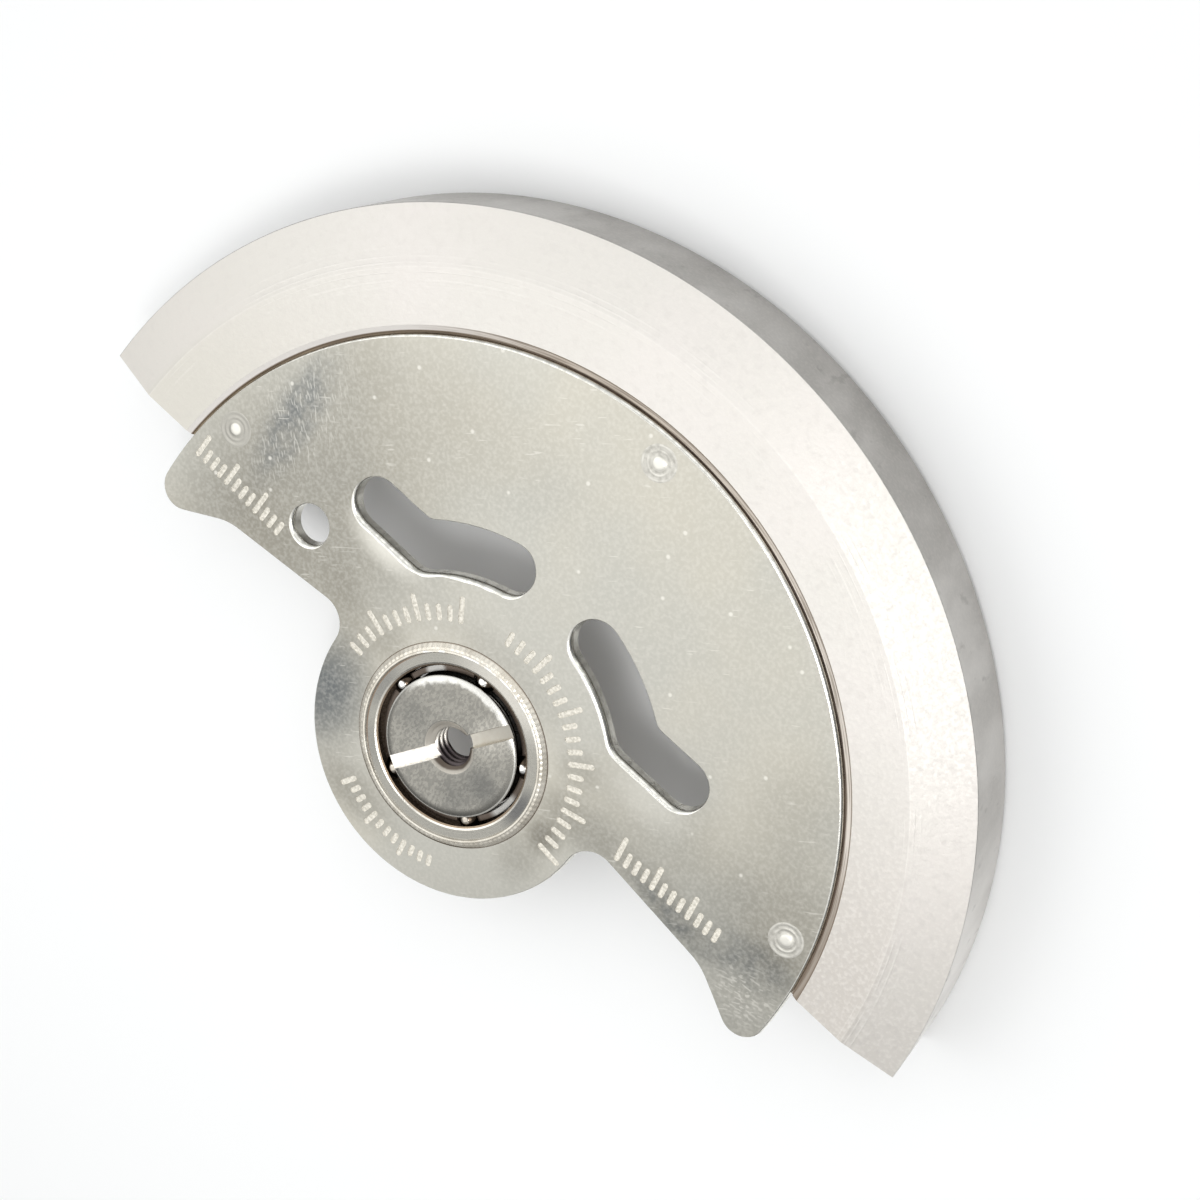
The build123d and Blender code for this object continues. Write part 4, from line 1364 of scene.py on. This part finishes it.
def core_section():
    """Section of the core: 0 lapped face and crown, 1 mouth, 2 flanks dark with oil and painted
    shade, 3 thread and bore.
    """
    thread_top, thread_bottom = CORE_TOP - MOUTH_DEPTH, CORE_TOP - THREAD_DEPTH
    brink = INNER_LIP - CROWN_INSET
    points = [(COUNTERBORE_RADIUS, core_low.z, 3), (STEM_RADIUS, core_low.z, 2),
              (STEM_RADIUS, BALL_PLANE, 2), (INNER_FOOT, BALL_PLANE, 2),
              (INNER_FOOT, BALL_PLANE + GROOVE_FOOT_RISE, 2),
              (INNER_LIP, BALL_PLANE + LIP_RISE, 2)]
    points += [(INNER_LIP - inset, CORE_TOP - CROWN_DROP - drop, 0) for inset, drop in CROWN_BROW]
    for step in range(CROWN_STEPS + 1):
        share = 1 - step / CROWN_STEPS
        points.append((CROWN_START + (brink - CROWN_START) * share,
                       CORE_TOP - CROWN_DROP * share**CROWN_POWER, 0))
    points += [(THREAD_RADIUS + out, CORE_TOP - drop, finish) for out, drop, finish in MOUTH_LIP]
    out, drop, finish = MOUTH_LIP[-1]
    for step in range(1, MOUTH_ROWS):
        share = step / MOUTH_ROWS
        points.append((THREAD_RADIUS + out * (1 - share),
                       CORE_TOP - drop - (MOUTH_DEPTH - drop) * share, finish))
    for step in range(THREAD_ROWS + 1):
        z = thread_top - (thread_top - thread_bottom) * step / THREAD_ROWS
        points.append((THREAD_RADIUS, z, 3))
    points.append((COUNTERBORE_RADIUS, thread_bottom, 3))
    return points


def core_warp(radius, z, angle):
    """Winds the thread into the hole, so that it runs out through the chamfer of the mouth."""
    turn = math.tau * ((z - CORE_TOP + THREAD_RUNOUT) / THREAD_PITCH + THREAD_START / 360) - angle
    fade = min(1.0, max(0.0, (z - CORE_TOP + THREAD_DEPTH) / THREAD_FADE))
    return max(radius, THREAD_RADIUS + THREAD_HEIGHT * fade * (1 + math.cos(turn)) / 2), z


def saw_cutter(name, side):
    """Half of the saw's disc, as wide as the slot, with a fine flare at the lapped face."""
    half = SAW_WIDTH / 2
    reach = INNER_LIP + 0.3
    mesh = bmesh.new()
    rows = []
    for step in range(SAW_STEPS + 1):
        along = side * reach * step / SAW_STEPS
        floor_z = CORE_TOP - SAW_DEPTH + SAW_RADIUS - math.sqrt(SAW_RADIUS**2 - along**2)
        flare = half + SAW_CHAMFER
        right = [(half, floor_z), (half, CORE_TOP - SAW_CHAMFER), (flare, CORE_TOP),
                 (flare + SAW_OVERRUN, CORE_TOP + SAW_OVERRUN)]
        section = [(-half, floor_z)] + right + [(-y, z) for y, z in right[:0:-1]]
        rows.append([mesh.verts.new((along, y, z)) for y, z in section])
    for before, after in zip(rows, rows[1:]):
        for k in range(len(before)):
            mesh.faces.new((before[k - 1], before[k], after[k], after[k - 1]))
    mesh.faces.new(rows[0])
    mesh.faces.new(rows[-1][::-1])
    made = piece(name, mesh)
    made.data.transform(Matrix.Rotation(math.radians(SAW_TURN), 4, "Z"))
    return made


def lapped_face_finish():
    """Lapped steel: fine rings and crystalline grain, lobes of painted sheen and shade, a painted
    highlight at the edge.
    """
    made, place = metal("lapped_face", CORE_LIGHT, 0.3)
    radius = out_from_axis(place)
    cells = grain(place, 15.0, 4.0, (1.0, 0.6, 1.0))
    ragged = maths("MULTIPLY_ADD", grain(place, 4.0, 3.0), 0.3, radius)
    # Painted highlight on the crown on the side facing the light, and a thin one along the lip.
    crown = times(facing(place, 105.0, 0.7, 1.3),
                  between(ragged, *(CROWN_START + out for out in CROWN_SHEEN)))
    lip = between(radius, *(INNER_LIP - inset for inset in LIP_SHEEN), 0.0, 0.75)
    crown = larger(crown, lip)
    colour = CORE_LIGHT
    # Lobes of painted sheen and painted shade.
    for tone, strength, angle in CORE_TONES:
        spot = polar(CORE_WING_PLACE, angle)
        colour = tinted(colour, tone, strength, place, *spot, *CORE_WING_REACH, angle)
    colour = mixed(times(between(cells, 0.38, 0.62), 0.34), colour, CORE_SHADE)
    colour = mixed(times(crown, 0.85), colour, CORE_EDGE_HIGHLIGHT)
    return dressed(made, colour, between(cells, *CLOUDS, 0.22, 0.36),
                   plus(cells, times(turning(radius, 45.0), 0.5)), 0.0022,
                   maths("MULTIPLY_ADD", crown, -0.6, 1.0))


def hole_finish(name, depth, metallic, pale, dark):
    """Wall of the threaded hole: pale where the light reaches, painted shade on one side below a
    given depth.
    """
    made, place = metal(name, pale, 0.3, metallic)
    ragged = maths("MULTIPLY_ADD", grain(place, 4.0, 3.0), SHADE_WAVE, axis(place, "Z"))
    deep = between(ragged, CORE_TOP - depth, CORE_TOP - depth + SHADE_SOFTNESS, 1.0, 0.0)
    # Painted shade on one side of the hole, below the given depth.
    tone = mixed(times(deep, facing(place, -25.0, -0.42, 0.05)), pale, dark)
    return dressed(made, tone, None, grain(place, 9.0), 0.002)


core = piece("slotted_core", lathe(core_section(), CORE_COLUMNS, warp=core_warp))
for finish in (lapped_face_finish(),
               hole_finish("hole_mouth", 0.045, 0.35, MOUTH_PALE, MOUTH_SHADE),
               # The flanks in the gap are dark brown: oil, and painted shade of the gap.
               plain_metal("oiled_and_shaded_flank", (FLANK_OIL_AND_SHADE, FLANK_SHADE), (0.3, 0.42), 8.0),
               hole_finish("hole_thread", 0.0, 0.8, THREAD_PALE, THREAD_SHADE)):
    core.data.materials.append(finish)
halves = []
for side, name, tones in SAW_HALVES:
    half = saw_cutter(name, side)
    half.data.materials.append(plain_metal(f"{name}_floor", tones, (0.34, 0.46), 8.0))
    halves.append(half)
cut_out(core, halves)
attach(core, "core")
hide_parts("bearing_core")

# Lower cone: a hardened ring pressed on the core's stem, which closes the inner race.
# It is hidden from above; below, its ground face shows round the core's seat.
CONE_CHAMFER = 0.06
CONE_GAP = 0.004
CONE_COLUMNS = 120

cone_bottom = box_mm("bearing_cone")[0].z
cone_section = rounded([        # radius, height, rounding, finish
    (STEM_RADIUS, BALL_PLANE - CONE_GAP, 0, 0),
    (INNER_FOOT, BALL_PLANE - CONE_GAP, 0, 0),
    (INNER_FOOT, BALL_PLANE - GROOVE_FOOT_RISE, 0.02, 0),
    (INNER_LIP, BALL_PLANE - LIP_RISE, 0.01, 0),
    (INNER_LIP, cone_bottom + CONE_CHAMFER, 0.02, 0),
    (INNER_LIP - CONE_CHAMFER, cone_bottom, 0.02, 0),
    (STEM_RADIUS, cone_bottom, 0, 0),
])
cone = piece("lower_cone", lathe(cone_section, CONE_COLUMNS))
cone.data.materials.append(plain_metal("ground_cone", (CORE_LIGHT, CORE_SHADE), (0.25, 0.37), 8.0))
finished(cone)
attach(cone, "core")
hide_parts("bearing_cone")

low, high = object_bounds()
